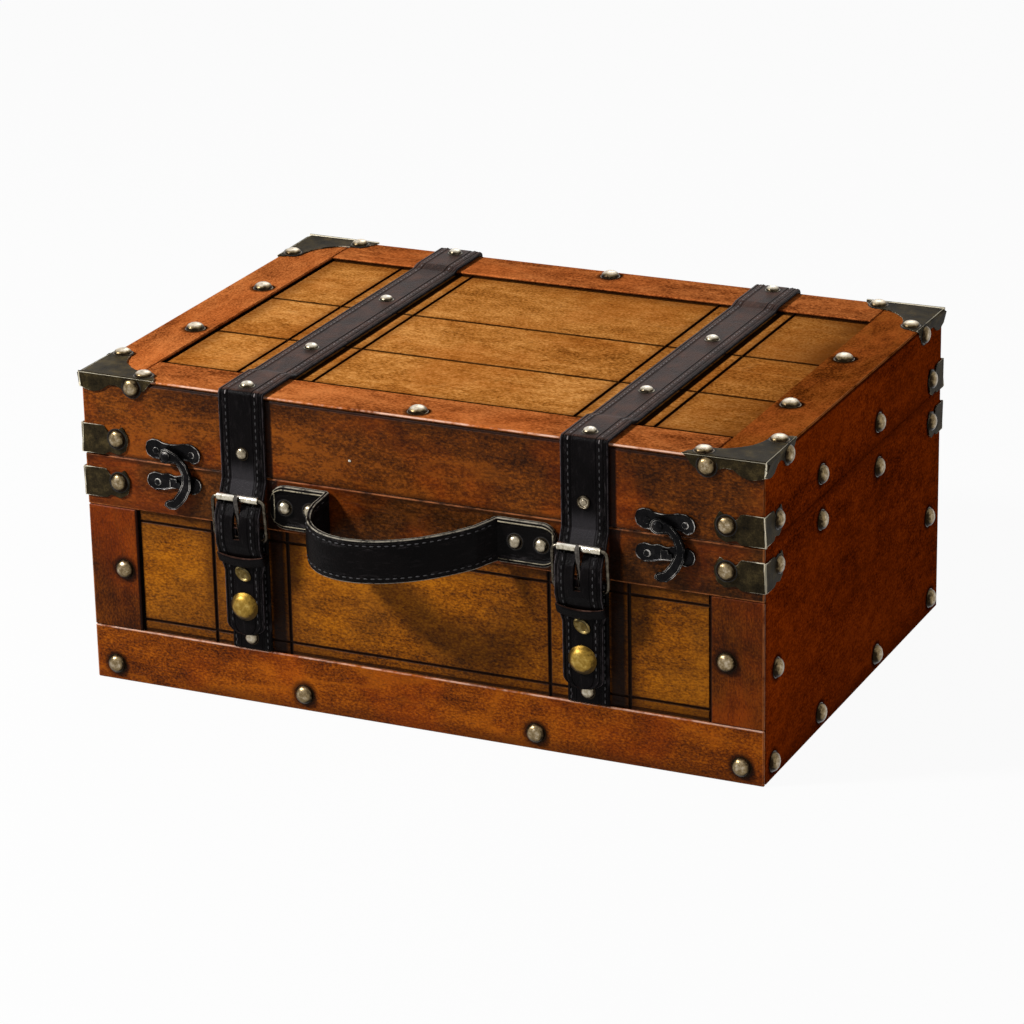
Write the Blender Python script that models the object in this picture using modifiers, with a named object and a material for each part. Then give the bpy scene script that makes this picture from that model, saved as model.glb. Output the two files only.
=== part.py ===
"""Wooden keepsake trunk with a hinged lid, two buckled straps, two hook latches and a handle.

Metres, +Z up. X runs along the trunk's width, -Y is its front, and the origin is at the
middle of its underside. Every sub-part is its own object. A moving piece hangs from an
empty that lies on its joint's axis.
"""
import math

import bmesh
import bpy
from mathutils import Matrix, Vector

# Box
TRUNK_WIDTH = 0.380
TRUNK_DEPTH = 0.261
BASE_HEIGHT = 0.1265
LID_HEIGHT = 0.044
WALL = 0.008
FLOOR_THICKNESS = 0.006
PLANK_THICKNESS = 0.005
TRIM_THICKNESS = 0.0017
EDGE_ROUND = 0.0005
FIT_GAP = 0.0003

# Frame strips on the front and on the lid
BOTTOM_RAIL_HEIGHT = 0.030
TOP_RAIL_HEIGHT = 0.0282
STILE_WIDTH = 0.0285
LID_FRAME_SIDE = 0.029
LID_FRAME_END = 0.0305

# Burnt grooves
GROOVE_WIDTH = 0.0013
GROOVE_DEPTH = 0.0008
GROOVE_BESIDE_STRAP = 0.0218
PANEL_GROOVE_INSET = 0.0065
PLANK_SEAM_FRONT = 0.037
PLANK_SEAM_BACK = 0.025

# Dome nails
NAIL_RADIUS = 0.0052
NAIL_HEIGHT = 0.0031
SMALL_NAIL_RADIUS = 0.0040
SMALL_NAIL_HEIGHT = 0.0024
NAIL_SIDES = 10
NAIL_RINGS = 4
NAIL_LIFT = 0.0002
SINK = 0.0004
RAIL_NAIL_HEIGHT = 0.009
RAIL_NAIL_INSET = 0.012
RAIL_NAIL_INNER = 0.066
SIDE_NAIL_FRONT = 0.052
SIDE_NAIL_BACK = 0.032
SIDE_NAIL_END = 0.0125
SIDE_NAIL_MID_HEIGHT = 0.058
SIDE_LOW_NAIL_DROP = 0.012
SIDE_HIGH_NAIL_RISE = 0.0125
STILE_NAIL_HEIGHT = 0.064
STILE_NAIL_INSET = 0.020
LID_NAIL_FRONT = 0.044
LID_NAIL_BACK = 0.0335
LID_NAIL_INSET = 0.0085
LID_SIDE_NAIL_INSET = 0.020

# Corner bands and corner caps
METAL = 0.0008
METAL_LAP = 0.0003
BAND_DROP = 0.0231
BAND_HEIGHT = 0.0160
BAND_ARM = 0.0270
BAND_SIDE_ARM = 0.0235
BAND_NAIL = 0.0197
BAND_SIDE_NAIL = 0.0170
LID_BAND_RISE = 0.0008
CAP_ARM = 0.0440
CAP_SIDE_ARM = 0.0425
CAP_DROP = 0.0098
CAP_NAIL = 0.0313
CAP_SIDE_NAIL = 0.0300
CAP_NAIL_DROP = 0.0052
CAP_TOP_NAIL = 0.0355
CAP_TOP_NAIL_INSET = 0.0062

# Straps
STRAP_INSET = 0.0945
STRAP_WIDTH = 0.026
STRAP_THICKNESS = 0.0023
STRAP_BEND = 0.0018
STRAP_TAIL = 0.0200
STRAP_NAIL_SHARES = (-0.954, -0.406, 0.276, 0.946)
STRAP_EYELET_RISE = 0.0125
FOLD_RISE = 0.001
BASE_STRAP_WIDTH = 0.023
BASE_STRAP_DROP = 0.030
BASE_STRAP_RIVET_HEIGHT = 0.0368

# Buckle and the strap's free end
ROLLER_DROP = 0.0095
ROLLER_RADIUS = 0.0021
ROLLER_LENGTH = 0.0236
WIRE_RADIUS = 0.0010
FRAME_HALF_WIDTH = 0.0148
FRAME_CORNER = 0.0028
FRAME_BAR_DROP = 0.032
BUCKLE_STAND = 0.0045
LEATHER_SLACK = 0.0003
PUFF_OUT = 0.0109
PUFF_TOP_DROP = 0.0189
PUFF_LOW_DROP = 0.0345
LEATHER_BEND = 0.0030
FREE_END_OUT = 0.0058
FREE_END_DROP = 0.086
FREE_END_WIDTH = 0.0225
KEEPER_DROP = 0.0457
KEEPER_HEIGHT = 0.0056
KEEPER_WALL = 0.0014
TAPER_LENGTH = 0.0050
TONGUE_WIDTH = 0.0026
TONGUE_THICKNESS = 0.0014
TONGUE_EYE_RADIUS = 0.0019
TONGUE_TIP = 0.0024
SLOT_CLEARANCE = 0.0006
TONGUE_LIFT_DEGREES = 20
SNAP_DROP = 0.0700
SNAP_RADIUS = 0.0076
SNAP_RISE = 0.0036
SNAP_STUD_RADIUS = 0.0042
EYELET_DROP = 0.0518
EYELET_RADIUS = 0.0034
EYELET_RISE = 0.0010

# Latches
LATCH_INSET_LEFT = 0.0530
LATCH_INSET_RIGHT = 0.0518
LATCH_HALF_WIDTH = 0.016
LATCH_HALF_HEIGHT = 0.0056
LATCH_METAL = 0.0012
LATCH_PLATE_RISE = 0.0078
CATCH_DROP = 0.0094
PIVOT_SHIFT = 0.0029
PIVOT_RISE = 0.0058
PIVOT_BOSS_RADIUS = 0.0030
PIVOT_BOSS_RISE = 0.0008
PIVOT_PIN_RADIUS = 0.0016
PIVOT_HEAD_RADIUS = 0.0026
PIVOT_HEAD_RISE = 0.0010
HOOK_METAL = 0.0016
HOOK_EYE_RADIUS = 0.0041
HOOK_REACH = 0.0137
HOOK_DROP = 0.0290
LUG_WIDTH = 0.0060
LUG_HEIGHT = 0.0050
LUG_SHIFT = 0.0040

# Carry handle and the two riveted leather tabs that it folds out of
HANDLE_TAB_TO_STRAP = 0.0155
HANDLE_TAB_LENGTH = 0.0315
HANDLE_TAB_HALF_HEIGHT = 0.0118
HANDLE_TAB_THICKNESS = 0.0018
HANDLE_TAB_RIM = 0.0024
HANDLE_TAB_POCKET = 0.0007
HANDLE_TAB_CORNER = 0.0080
HANDLE_FOLD_LENGTH = 0.0025
HANDLE_FOLD_HEIGHT = 0.0050
HANDLE_FOLD_OUT = 0.0049
HANDLE_FOLD_CLEARANCE = 0.0015
HANDLE_DROP = 0.0138
HANDLE_RIVET_INSETS = (0.0090, 0.0235)
HANDLE_BAND_HALF_HEIGHT = 0.0115
HANDLE_BAND_THICKNESS = 0.0030
HANDLE_ROOT_OUT = 0.0037
HANDLE_ROOT_SHARE = 0.36
HANDLE_FULL_OUT = 0.0100
HANDLE_LEAN_LEFT_SHARE = 1.245
HANDLE_LEAN_RIGHT_SHARE = 0.145
HANDLE_PULL = 0.0475
HANDLE_DROOP_SHARE = 0.265
HANDLE_STEPS = 30

# Hinges
HINGE_INSET = 0.057
HINGE_WIDTH = 0.034
HINGE_LEAF = 0.015
HINGE_METAL = 0.0012
HINGE_PIN_RADIUS = 0.0013
HINGE_KNUCKLE_RADIUS = 0.0028
HINGE_SCREW_RADIUS = 0.0024
HINGE_SCREW_RISE = 0.0009
HINGE_SCREW_OUT = 0.0110
ROUND_SIDES = 16

# Values worked out from the sizes above
TRUNK_HEIGHT = BASE_HEIGHT + LID_HEIGHT
HALF_WIDTH = TRUNK_WIDTH / 2
FRONT = -TRUNK_DEPTH / 2
BACK = TRUNK_DEPTH / 2
RECESS = TRIM_THICKNESS + FIT_GAP
MITRE = FIT_GAP * math.sqrt(1 / 2)
LID_LOW = BASE_HEIGHT + FIT_GAP
LID_WALL_TOP = TRUNK_HEIGHT - RECESS
PANEL_FRONT = FRONT + RECESS
PANEL_TOP = BASE_HEIGHT - TOP_RAIL_HEIGHT
RAIL_NAIL_OUTER = HALF_WIDTH - RAIL_NAIL_INSET
SIDE_LOW_NAIL_HEIGHT = BASE_HEIGHT - SIDE_LOW_NAIL_DROP
SIDE_HIGH_NAIL_HEIGHT = BASE_HEIGHT + SIDE_HIGH_NAIL_RISE
BAND_LOW = BASE_HEIGHT - BAND_DROP
LID_BAND_LOW = BASE_HEIGHT + LID_BAND_RISE
STRAP_OFFSET = HALF_WIDTH - STRAP_INSET
STRAP_MID = FIT_GAP + STRAP_THICKNESS / 2
STRAP_EYELET_HEIGHT = BASE_HEIGHT + STRAP_EYELET_RISE
FOLD_HEIGHT = BASE_HEIGHT + FOLD_RISE
BASE_STRAP_TOP = BASE_HEIGHT - BASE_STRAP_DROP
ROLLER_HEIGHT = BASE_HEIGHT - ROLLER_DROP
FRAME_BAR_HEIGHT = BASE_HEIGHT - FRAME_BAR_DROP
PUFF_TOP_HEIGHT = BASE_HEIGHT - PUFF_TOP_DROP
PUFF_LOW_HEIGHT = BASE_HEIGHT - PUFF_LOW_DROP
FREE_END_HEIGHT = BASE_HEIGHT - FREE_END_DROP
KEEPER_LOW = BASE_HEIGHT - KEEPER_DROP
SNAP_HEIGHT = BASE_HEIGHT - SNAP_DROP
EYELET_HEIGHT = BASE_HEIGHT - EYELET_DROP
ROLLER_OUT = STRAP_MID + STRAP_THICKNESS / 2 + ROLLER_RADIUS + BUCKLE_STAND
BAR_OUT = PUFF_OUT - STRAP_THICKNESS / 2 - FIT_GAP - TONGUE_EYE_RADIUS
TONGUE_REST_OUT = ROLLER_OUT + ROLLER_RADIUS + FIT_GAP + TONGUE_THICKNESS / 2
# The slot in the leather reaches down to where the tongue, fully lifted, leaves its back
TONGUE_LEAN = (math.atan2(TONGUE_REST_OUT - BAR_OUT, ROLLER_HEIGHT - FRAME_BAR_HEIGHT)
               + math.radians(TONGUE_LIFT_DEGREES))
SLOT_LOW_RISE = ((FIT_GAP + TONGUE_EYE_RADIUS - TONGUE_THICKNESS / 2 * math.cos(TONGUE_LEAN))
                 / math.tan(TONGUE_LEAN) - TONGUE_THICKNESS / 2 * math.sin(TONGUE_LEAN) - SLOT_CLEARANCE)
SLOT_LOW_HEIGHT = FRAME_BAR_HEIGHT + SLOT_LOW_RISE
LATCH_PLATE_HEIGHT = BASE_HEIGHT + LATCH_PLATE_RISE
CATCH_HEIGHT = BASE_HEIGHT - CATCH_DROP
PIVOT_HEIGHT = BASE_HEIGHT + PIVOT_RISE
HOOK_BACK = FIT_GAP + LATCH_METAL + PIVOT_BOSS_RISE + FIT_GAP
HANDLE_TAB_INNER = STRAP_OFFSET - HANDLE_TAB_TO_STRAP - HANDLE_TAB_LENGTH
HANDLE_HEIGHT = BASE_HEIGHT - HANDLE_DROP
HINGE_OUT = FIT_GAP * 2 + HINGE_KNUCKLE_RADIUS
HINGE_HEIGHT = BASE_HEIGHT + FIT_GAP / 2
CUT = 0.002
WELD = 0.000002

# Colour, roughness and metallic value of each finish
FINISHES = {
    "panel_wood": ((0.33, 0.13, 0.025, 1), 0.45, 0),
    "frame_wood": ((0.27, 0.075, 0.020, 1), 0.42, 0),
    "lid_wood": ((0.16, 0.038, 0.012, 1), 0.40, 0),
    "side_wood": ((0.15, 0.022, 0.008, 1), 0.42, 0),
    "inner_wood": ((0.30, 0.14, 0.05, 1), 0.60, 0),
    "strap_leather": ((0.022, 0.014, 0.012, 1), 0.42, 0),
    "handle_leather": ((0.012, 0.010, 0.010, 1), 0.38, 0),
    "corner_metal": ((0.10, 0.085, 0.05, 1), 0.40, 0.9),
    "latch_metal": ((0.05, 0.05, 0.055, 1), 0.35, 0.9),
    "buckle_metal": ((0.72, 0.68, 0.62, 1), 0.25, 1),
    "brass": ((0.50, 0.34, 0.10, 1), 0.30, 1),
    "hinge_metal": ((0.22, 0.20, 0.16, 1), 0.40, 1),
}

for old in list(bpy.data.objects):
    bpy.data.objects.remove(old, do_unlink=True)

parts = bpy.data.collections.new("wooden_trunk")
cutters = bpy.data.collections.new("wooden_trunk_cutters")
bpy.context.scene.collection.children.link(parts)
bpy.context.scene.collection.children.link(cutters)


def make_finish(name):
    """A plain surface in the finish's own colour."""
    colour, roughness, metallic = FINISHES[name]
    material = bpy.data.materials.new(name)
    material.use_nodes = True
    shader = material.node_tree.nodes["Principled BSDF"]
    shader.inputs["Base Color"].default_value = colour
    shader.inputs["Roughness"].default_value = roughness
    shader.inputs["Metallic"].default_value = metallic
    return material


materials = {name: make_finish(name) for name in FINISHES}

# Turns that lay a flat outline on a face: its own +Z then points out of that face
LIES = {
    "top": Matrix.Identity(4),
    "front": Matrix.Rotation(math.radians(90), 4, "X"),
    "side": Matrix(((0, 0, 1, 0), (1, 0, 0, 0), (0, 1, 0, 0), (0, 0, 0, 1))),
}
LIES["back"] = Matrix.Rotation(math.radians(180), 4, "Z") @ LIES["front"]
LIES["right"] = LIES["side"]
LIES["left"] = Matrix.Rotation(math.radians(180), 4, "Z") @ LIES["side"]


def add_part(name, mesh, finish, axis=None):
    """Put a finished mesh in the trunk's collection, hung from its joint's empty."""
    part = bpy.data.objects.new(name, mesh)
    parts.objects.link(part)
    mesh.materials.clear()
    mesh.materials.append(materials[finish])
    middle = sum((vertex.co for vertex in mesh.vertices), Vector()) / len(mesh.vertices)
    mesh.transform(Matrix.Translation(-middle))
    part.location = middle
    if axis is not None:
        part.parent = axis
        part.matrix_parent_inverse = axis.matrix_world.inverted()
    return part


def add_axis(name, place, carrier=None):
    """An empty on a joint's axis."""
    axis = bpy.data.objects.new(name, None)
    axis.empty_display_size = WALL
    parts.objects.link(axis)
    axis.location = place
    if carrier is not None:
        axis.parent = carrier
        axis.matrix_parent_inverse = carrier.matrix_world.inverted()
    bpy.context.view_layer.update()
    return axis


def add_cutter(name, mesh):
    """A guide mesh that shapes a part and isn't one itself."""
    cutter = bpy.data.objects.new(name, mesh)
    cutters.objects.link(cutter)
    cutter.hide_render = True
    cutter.display_type = "WIRE"
    return cutter


def shape(part, operation, mesh):
    """Join a mesh to a part, or cut or trim the part with it."""
    modifier = part.modifiers.new(operation.lower(), "BOOLEAN")
    modifier.operation = operation
    modifier.object = add_cutter(part.name + "_" + operation.lower(), mesh)
    return part


def round_edges(part, width, segments=1):
    """Break a part's sharp edges."""
    bevel = part.modifiers.new("round_edges", "BEVEL")
    bevel.width = width
    bevel.segments = segments
    bevel.limit_method = "ANGLE"
    return part


def shade_round(part):
    """Shade a turned or bent piece smooth, with its corners kept."""
    part.data.shade_smooth()
    part.data.set_sharp_from_angle(angle=math.radians(35))
    return part


def tidy(mesh, bm):
    """Write a welded bmesh with its faces pointing out."""
    bmesh.ops.remove_doubles(bm, verts=bm.verts, dist=WELD)
    bmesh.ops.recalc_face_normals(bm, faces=bm.faces)
    bm.to_mesh(mesh)
    bm.free()
    return mesh


def curve_mesh(curve):
    """The closed mesh of a curve, with its caps welded on."""
    guide = bpy.data.objects.new("curve_guide", curve)
    cutters.objects.link(guide)
    graph = bpy.context.evaluated_depsgraph_get()
    mesh = bpy.data.meshes.new_from_object(guide.evaluated_get(graph))
    bpy.data.objects.remove(guide, do_unlink=True)
    bm = bmesh.new()
    bm.from_mesh(mesh)
    return tidy(mesh, bm)


def flat_mesh(outline, thickness, lies="top", at=(0, 0, 0)):
    """A flat outline of one thickness, laid on a face with its middle plane at a place."""
    curve = bpy.data.curves.new("outline", "CURVE")
    curve.dimensions = "2D"
    curve.fill_mode = "BOTH"
    curve.extrude = thickness / 2
    spline = curve.splines.new("POLY")
    spline.points.add(len(outline) - 1)
    for point, (across, up) in zip(spline.points, outline):
        point.co = (across, up, 0, 1)
    spline.use_cyclic_u = True
    mesh = curve_mesh(curve)
    bm = bmesh.new()
    bm.from_mesh(mesh)
    bmesh.ops.dissolve_limit(bm, angle_limit=math.radians(1), verts=[], edges=bm.edges)
    tidy(mesh, bm)
    mesh.transform(Matrix.Translation(at) @ LIES[lies])
    return mesh


def box_mesh(low, high):
    """A plain block between two corners."""
    bm = bmesh.new()
    bmesh.ops.create_cube(bm, size=1)
    low = Vector(low)
    high = Vector(high)
    bmesh.ops.scale(bm, vec=high - low, verts=bm.verts)
    bmesh.ops.translate(bm, vec=(low + high) / 2, verts=bm.verts)
    return tidy(bpy.data.meshes.new("block"), bm)


def rod_mesh(radius, length, lies, at, sides=ROUND_SIDES):
    """A round bar with its middle at a place, its axis square to a face."""
    bm = bmesh.new()
    bmesh.ops.create_cone(bm, cap_ends=True, segments=sides, radius1=radius,
                          radius2=radius, depth=length)
    mesh = tidy(bpy.data.meshes.new("rod"), bm)
    mesh.transform(Matrix.Translation(at) @ LIES[lies])
    return mesh


def joined(meshes):
    """Several bodies that don't touch, as one mesh to cut or join with."""
    bm = bmesh.new()
    for mesh in meshes:
        bm.from_mesh(mesh)
    result = bpy.data.meshes.new("group")
    bm.to_mesh(result)
    bm.free()
    return result


def dome_mesh(radius, rise, lies, at, sides=NAIL_SIDES):
    """A nail's domed head, sunk a little way into the face that it stands on."""
    bm = bmesh.new()
    bmesh.ops.create_uvsphere(bm, u_segments=sides, v_segments=NAIL_RINGS, radius=radius)
    bmesh.ops.scale(bm, vec=(1, 1, rise / radius), verts=bm.verts)
    bmesh.ops.translate(bm, vec=(0, 0, NAIL_LIFT), verts=bm.verts)
    everything = bm.verts[:] + bm.edges[:] + bm.faces[:]
    bmesh.ops.bisect_plane(bm, geom=everything, plane_co=(0, 0, -SINK), plane_no=(0, 0, 1),
                           clear_inner=True)
    rim = [edge for edge in bm.edges if edge.is_boundary]
    bmesh.ops.holes_fill(bm, edges=rim, sides=0)
    mesh = tidy(bpy.data.meshes.new("dome"), bm)
    mesh.transform(Matrix.Translation(at) @ LIES[lies])
    return mesh


def nail(part, spots, radius=NAIL_RADIUS, rise=NAIL_HEIGHT):
    """Drive nails into a part: each spot is a face's name and a place on its surface."""
    heads = [dome_mesh(radius, rise, lies, at) for lies, at in spots]
    return shape(part, "UNION", joined(heads))


# A corner that is this close to straight needs no rounding
NEARLY_STRAIGHT = math.radians(177)


def fillet(points, radius, steps=4):
    """A path of straight runs with its inner corners rounded."""
    path = [Vector(points[0])]
    for before, corner, after in zip(points, points[1:], points[2:]):
        corner = Vector(corner)
        back = Vector(before) - corner
        ahead = Vector(after) - corner
        turn = back.angle(ahead)
        if turn > NEARLY_STRAIGHT:
            path.append(corner)
            continue
        reach = min(radius / math.tan(turn / 2), back.length / 2, ahead.length / 2)
        start = corner + back.normalized() * reach
        end = corner + ahead.normalized() * reach
        for step in range(steps + 1):
            share = step / steps
            inner = start.lerp(corner, share)
            outer = corner.lerp(end, share)
            path.append(inner.lerp(outer, share))
    path.append(Vector(points[-1]))
    return path


def strip_outline(path, thickness, round_start=False):
    """The two edges of a strip of one thickness that follows a flat path."""
    left = []
    right = []
    for place, point in enumerate(path):
        before = path[max(place - 1, 0)]
        after = path[min(place + 1, len(path) - 1)]
        along = (after - before).normalized()
        across = Vector((-along.y, along.x)) * thickness / 2
        left.append(point + across)
        right.append(point - across)
    start = []
    if round_start:
        along = (path[1] - path[0]).normalized()
        across = Vector((-along.y, along.x))
        for step in range(1, 6):
            angle = math.pi * step / 6
            start.append(path[0] + (-across * math.cos(angle) - along * math.sin(angle)) * thickness / 2)
    return left + right[::-1] + start


def ring_points(radius, start, end, steps, centre=(0, 0)):
    """Points on an arc, from one angle to another in degrees."""
    points = []
    for step in range(steps + 1):
        angle = math.radians(start + (end - start) * step / steps)
        points.append((centre[0] + radius * math.cos(angle), centre[1] + radius * math.sin(angle)))
    return points


def wall_outline(face, front, back):
    """A mitred wall board seen from above."""
    inner = HALF_WIDTH - WALL
    if face == "front":
        outline = [(-HALF_WIDTH + MITRE, front), (HALF_WIDTH - MITRE, front),
                   (inner - MITRE, front + WALL), (MITRE - inner, front + WALL)]
    elif face == "back":
        outline = [(-HALF_WIDTH + MITRE, back), (HALF_WIDTH - MITRE, back),
                   (inner - MITRE, back - WALL), (MITRE - inner, back - WALL)]
    else:
        side = 1 if face == "right" else -1
        outline = [(side * HALF_WIDTH, front + MITRE), (side * HALF_WIDTH, back - MITRE),
                   (side * inner, back - WALL - MITRE), (side * inner, front + WALL + MITRE)]
    return outline


def wall(name, face, front, low, high, finish, axis=None):
    """One wall board of the base or the lid."""
    mesh = flat_mesh(wall_outline(face, front, BACK), high - low, at=(0, 0, (low + high) / 2))
    return round_edges(add_part(name, mesh, finish, axis), EDGE_ROUND)


def board(name, low, high, finish, axis=None):
    """A square-edged board between two corners."""
    return round_edges(add_part(name, box_mesh(low, high), finish, axis), EDGE_ROUND)


def build_base():
    """The box: floor, four walls, and the frame strips on its front."""
    inner = HALF_WIDTH - WALL - FIT_GAP
    board("base_floor", (-inner, PANEL_FRONT + WALL + FIT_GAP, 0),
          (inner, BACK - WALL - FIT_GAP, FLOOR_THICKNESS), "inner_wood")
    panel = wall("base_front_wall", "front", PANEL_FRONT, 0, BASE_HEIGHT, "panel_wood")
    upright = [HALF_WIDTH - STILE_WIDTH - GROOVE_WIDTH / 2,
               STRAP_OFFSET + GROOVE_BESIDE_STRAP, STRAP_OFFSET - GROOVE_BESIDE_STRAP]
    cuts = []
    for across in upright + [-value for value in upright]:
        cuts.append(box_mesh((across - GROOVE_WIDTH / 2, PANEL_FRONT - CUT, BOTTOM_RAIL_HEIGHT),
                             (across + GROOVE_WIDTH / 2, PANEL_FRONT + GROOVE_DEPTH, PANEL_TOP)))
    shape(panel, "DIFFERENCE", joined(cuts))
    level = [BOTTOM_RAIL_HEIGHT + PANEL_GROOVE_INSET, PANEL_TOP - PANEL_GROOVE_INSET]
    reach = upright[0]
    cuts = [box_mesh((-reach, PANEL_FRONT - CUT, height - GROOVE_WIDTH / 2),
                     (reach, PANEL_FRONT + GROOVE_DEPTH, height + GROOVE_WIDTH / 2))
            for height in level]
    shape(panel, "DIFFERENCE", joined(cuts))

    row = (-RAIL_NAIL_OUTER, -RAIL_NAIL_INNER, RAIL_NAIL_INNER, RAIL_NAIL_OUTER)
    back_wall = wall("base_back_wall", "back", PANEL_FRONT, 0, BASE_HEIGHT, "side_wood")
    nail(back_wall, [("back", (across, BACK, RAIL_NAIL_HEIGHT)) for across in row])
    for face, side in (("left", -1), ("right", 1)):
        side_wall = wall("base_" + face + "_wall", face, PANEL_FRONT, 0, BASE_HEIGHT, "side_wood")
        spots = [(-SIDE_NAIL_FRONT, SIDE_LOW_NAIL_HEIGHT), (SIDE_NAIL_BACK, SIDE_LOW_NAIL_HEIGHT),
                 (FRONT + BAND_SIDE_NAIL, SIDE_NAIL_MID_HEIGHT),
                 (BACK - BAND_SIDE_NAIL, SIDE_NAIL_MID_HEIGHT),
                 (FRONT + SIDE_NAIL_END, RAIL_NAIL_HEIGHT), (-SIDE_NAIL_FRONT, RAIL_NAIL_HEIGHT),
                 (SIDE_NAIL_BACK, RAIL_NAIL_HEIGHT), (BACK - SIDE_NAIL_END, RAIL_NAIL_HEIGHT)]
        nail(side_wall, [(face, (side * HALF_WIDTH, along, height)) for along, height in spots])

    trim_back = FRONT + TRIM_THICKNESS
    bottom_rail = board("base_front_bottom_rail", (-HALF_WIDTH, FRONT, 0),
                        (HALF_WIDTH, trim_back, BOTTOM_RAIL_HEIGHT), "frame_wood")
    nail(bottom_rail, [("front", (across, FRONT, RAIL_NAIL_HEIGHT)) for across in row])
    board("base_front_top_rail", (-HALF_WIDTH, FRONT, PANEL_TOP),
          (HALF_WIDTH, trim_back, BASE_HEIGHT), "frame_wood")
    for face, side in (("left", -1), ("right", 1)):
        edges = sorted((side * HALF_WIDTH, side * (HALF_WIDTH - STILE_WIDTH)))
        stile = board("base_front_stile_" + face, (edges[0], FRONT, BOTTOM_RAIL_HEIGHT + FIT_GAP),
                      (edges[1], trim_back, PANEL_TOP - FIT_GAP), "frame_wood")
        nail(stile, [("front", (side * (HALF_WIDTH - STILE_NAIL_INSET), FRONT, STILE_NAIL_HEIGHT))])


def build_lid(axis):
    """The lid: planked panel, four walls, and the frame strips on top."""
    for face in ("front", "back", "left", "right"):
        finish = "lid_wood" if face == "front" else "side_wood"
        lid_wall = wall("lid_" + face + "_wall", face, FRONT, LID_LOW, LID_WALL_TOP, finish, axis)
        if face in ("left", "right"):
            side = 1 if face == "right" else -1
            nail(lid_wall, [(face, (side * HALF_WIDTH, along, SIDE_HIGH_NAIL_HEIGHT))
                            for along in (-SIDE_NAIL_FRONT, SIDE_NAIL_BACK)])

    inner = HALF_WIDTH - WALL - FIT_GAP
    reach = BACK - WALL - FIT_GAP
    panel = board("lid_panel", (-inner, -reach, LID_WALL_TOP - PLANK_THICKNESS),
                  (inner, reach, LID_WALL_TOP), "panel_wood", axis)
    seams = [box_mesh((-inner - CUT, along - GROOVE_WIDTH / 2, LID_WALL_TOP - GROOVE_DEPTH),
                      (inner + CUT, along + GROOVE_WIDTH / 2, LID_WALL_TOP + CUT))
             for along in (-PLANK_SEAM_FRONT, PLANK_SEAM_BACK)]
    shape(panel, "DIFFERENCE", joined(seams))
    lines = []
    for side in (-1, 1):
        for offset in (STRAP_OFFSET - GROOVE_BESIDE_STRAP, STRAP_OFFSET + GROOVE_BESIDE_STRAP):
            across = side * offset
            lines.append(box_mesh((across - GROOVE_WIDTH / 2, -reach - CUT, LID_WALL_TOP - GROOVE_DEPTH),
                                  (across + GROOVE_WIDTH / 2, reach + CUT, LID_WALL_TOP + CUT)))
    shape(panel, "DIFFERENCE", joined(lines))

    low = TRUNK_HEIGHT - TRIM_THICKNESS
    for face, side in (("left", -1), ("right", 1)):
        edges = sorted((side * HALF_WIDTH, side * (HALF_WIDTH - LID_FRAME_SIDE)))
        strip = board("lid_top_rail_" + face, (edges[0], FRONT, low),
                      (edges[1], BACK, TRUNK_HEIGHT), "frame_wood", axis)
        across = side * (HALF_WIDTH - LID_SIDE_NAIL_INSET)
        nail(strip, [("top", (across, along, TRUNK_HEIGHT)) for along in (-LID_NAIL_FRONT, LID_NAIL_BACK)])
    reach = HALF_WIDTH - LID_FRAME_SIDE - FIT_GAP
    for face, side in (("front", -1), ("back", 1)):
        edges = sorted((side * BACK, side * (BACK - LID_FRAME_END)))
        strip = board("lid_top_rail_" + face, (-reach, edges[0], low),
                      (reach, edges[1], TRUNK_HEIGHT), "frame_wood", axis)
        nail(strip, [("top", (0, side * (BACK - LID_NAIL_INSET), TRUNK_HEIGHT))])


# Outlines of the corner metal: shares of the arm's length and of the strip's height
BAND_SHARES = ((0, 0), (0.48, 0), (0.57, 0.12), (0.78, 0.03), (0.94, 0.19), (1, 0.50),
               (1, 0.69), (0.89, 1.03), (0.74, 0.84), (0.57, 0.78), (0.48, 1), (0, 1))
CAP_SHARES = ((0, 0), (1, 0), (0.955, -0.15), (0.87, -0.62), (0.75, -0.92), (0.62, -0.80),
              (0.50, -0.52), (0.39, -0.55), (0.28, -0.90), (0.18, -1), (0.09, -0.78), (0, -0.42))
CAP_TOP_SHARES = ((0, 0), (1, 0), (0.97, 0.09), (0.80, 0.27), (0.60, 0.31), (0.47, 0.40),
                  (0.36, 0.52), (0.30, 0.66), (0.26, 0.84), (0.09, 0.98), (0, 1))


def corner_metal(name, side, end, pieces, axis=None):
    """Thin plates that meet round one corner of the trunk, joined into one piece."""
    outer_x = HALF_WIDTH + FIT_GAP + METAL
    outer_y = BACK + FIT_GAP + METAL
    outer_z = TRUNK_HEIGHT + FIT_GAP + METAL
    meshes = []
    for face, outline in pieces:
        if face == "front":
            points = [(side * (outer_x - METAL_LAP - along), up) for along, up in outline]
            meshes.append(flat_mesh(points, METAL, "front", (0, end * (outer_y - METAL / 2), 0)))
        elif face == "side":
            points = [(end * (outer_y - METAL_LAP - along), up) for along, up in outline]
            meshes.append(flat_mesh(points, METAL, "side", (side * (outer_x - METAL / 2), 0, 0)))
        else:
            points = [(side * (outer_x - METAL_LAP - across), end * (outer_y - METAL_LAP - along))
                      for across, along in outline]
            meshes.append(flat_mesh(points, METAL, "top", (0, 0, outer_z - METAL / 2)))
    part = add_part(name, meshes[0], "corner_metal", axis)
    for mesh in meshes[1:]:
        shape(part, "UNION", mesh)
    return part


def band_outline(arm, low, trim):
    """One arm of a corner band, notched and rounded at its nail."""
    return [(share * arm, low + trim + up * (BAND_HEIGHT - 2 * trim)) for share, up in BAND_SHARES]


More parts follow.
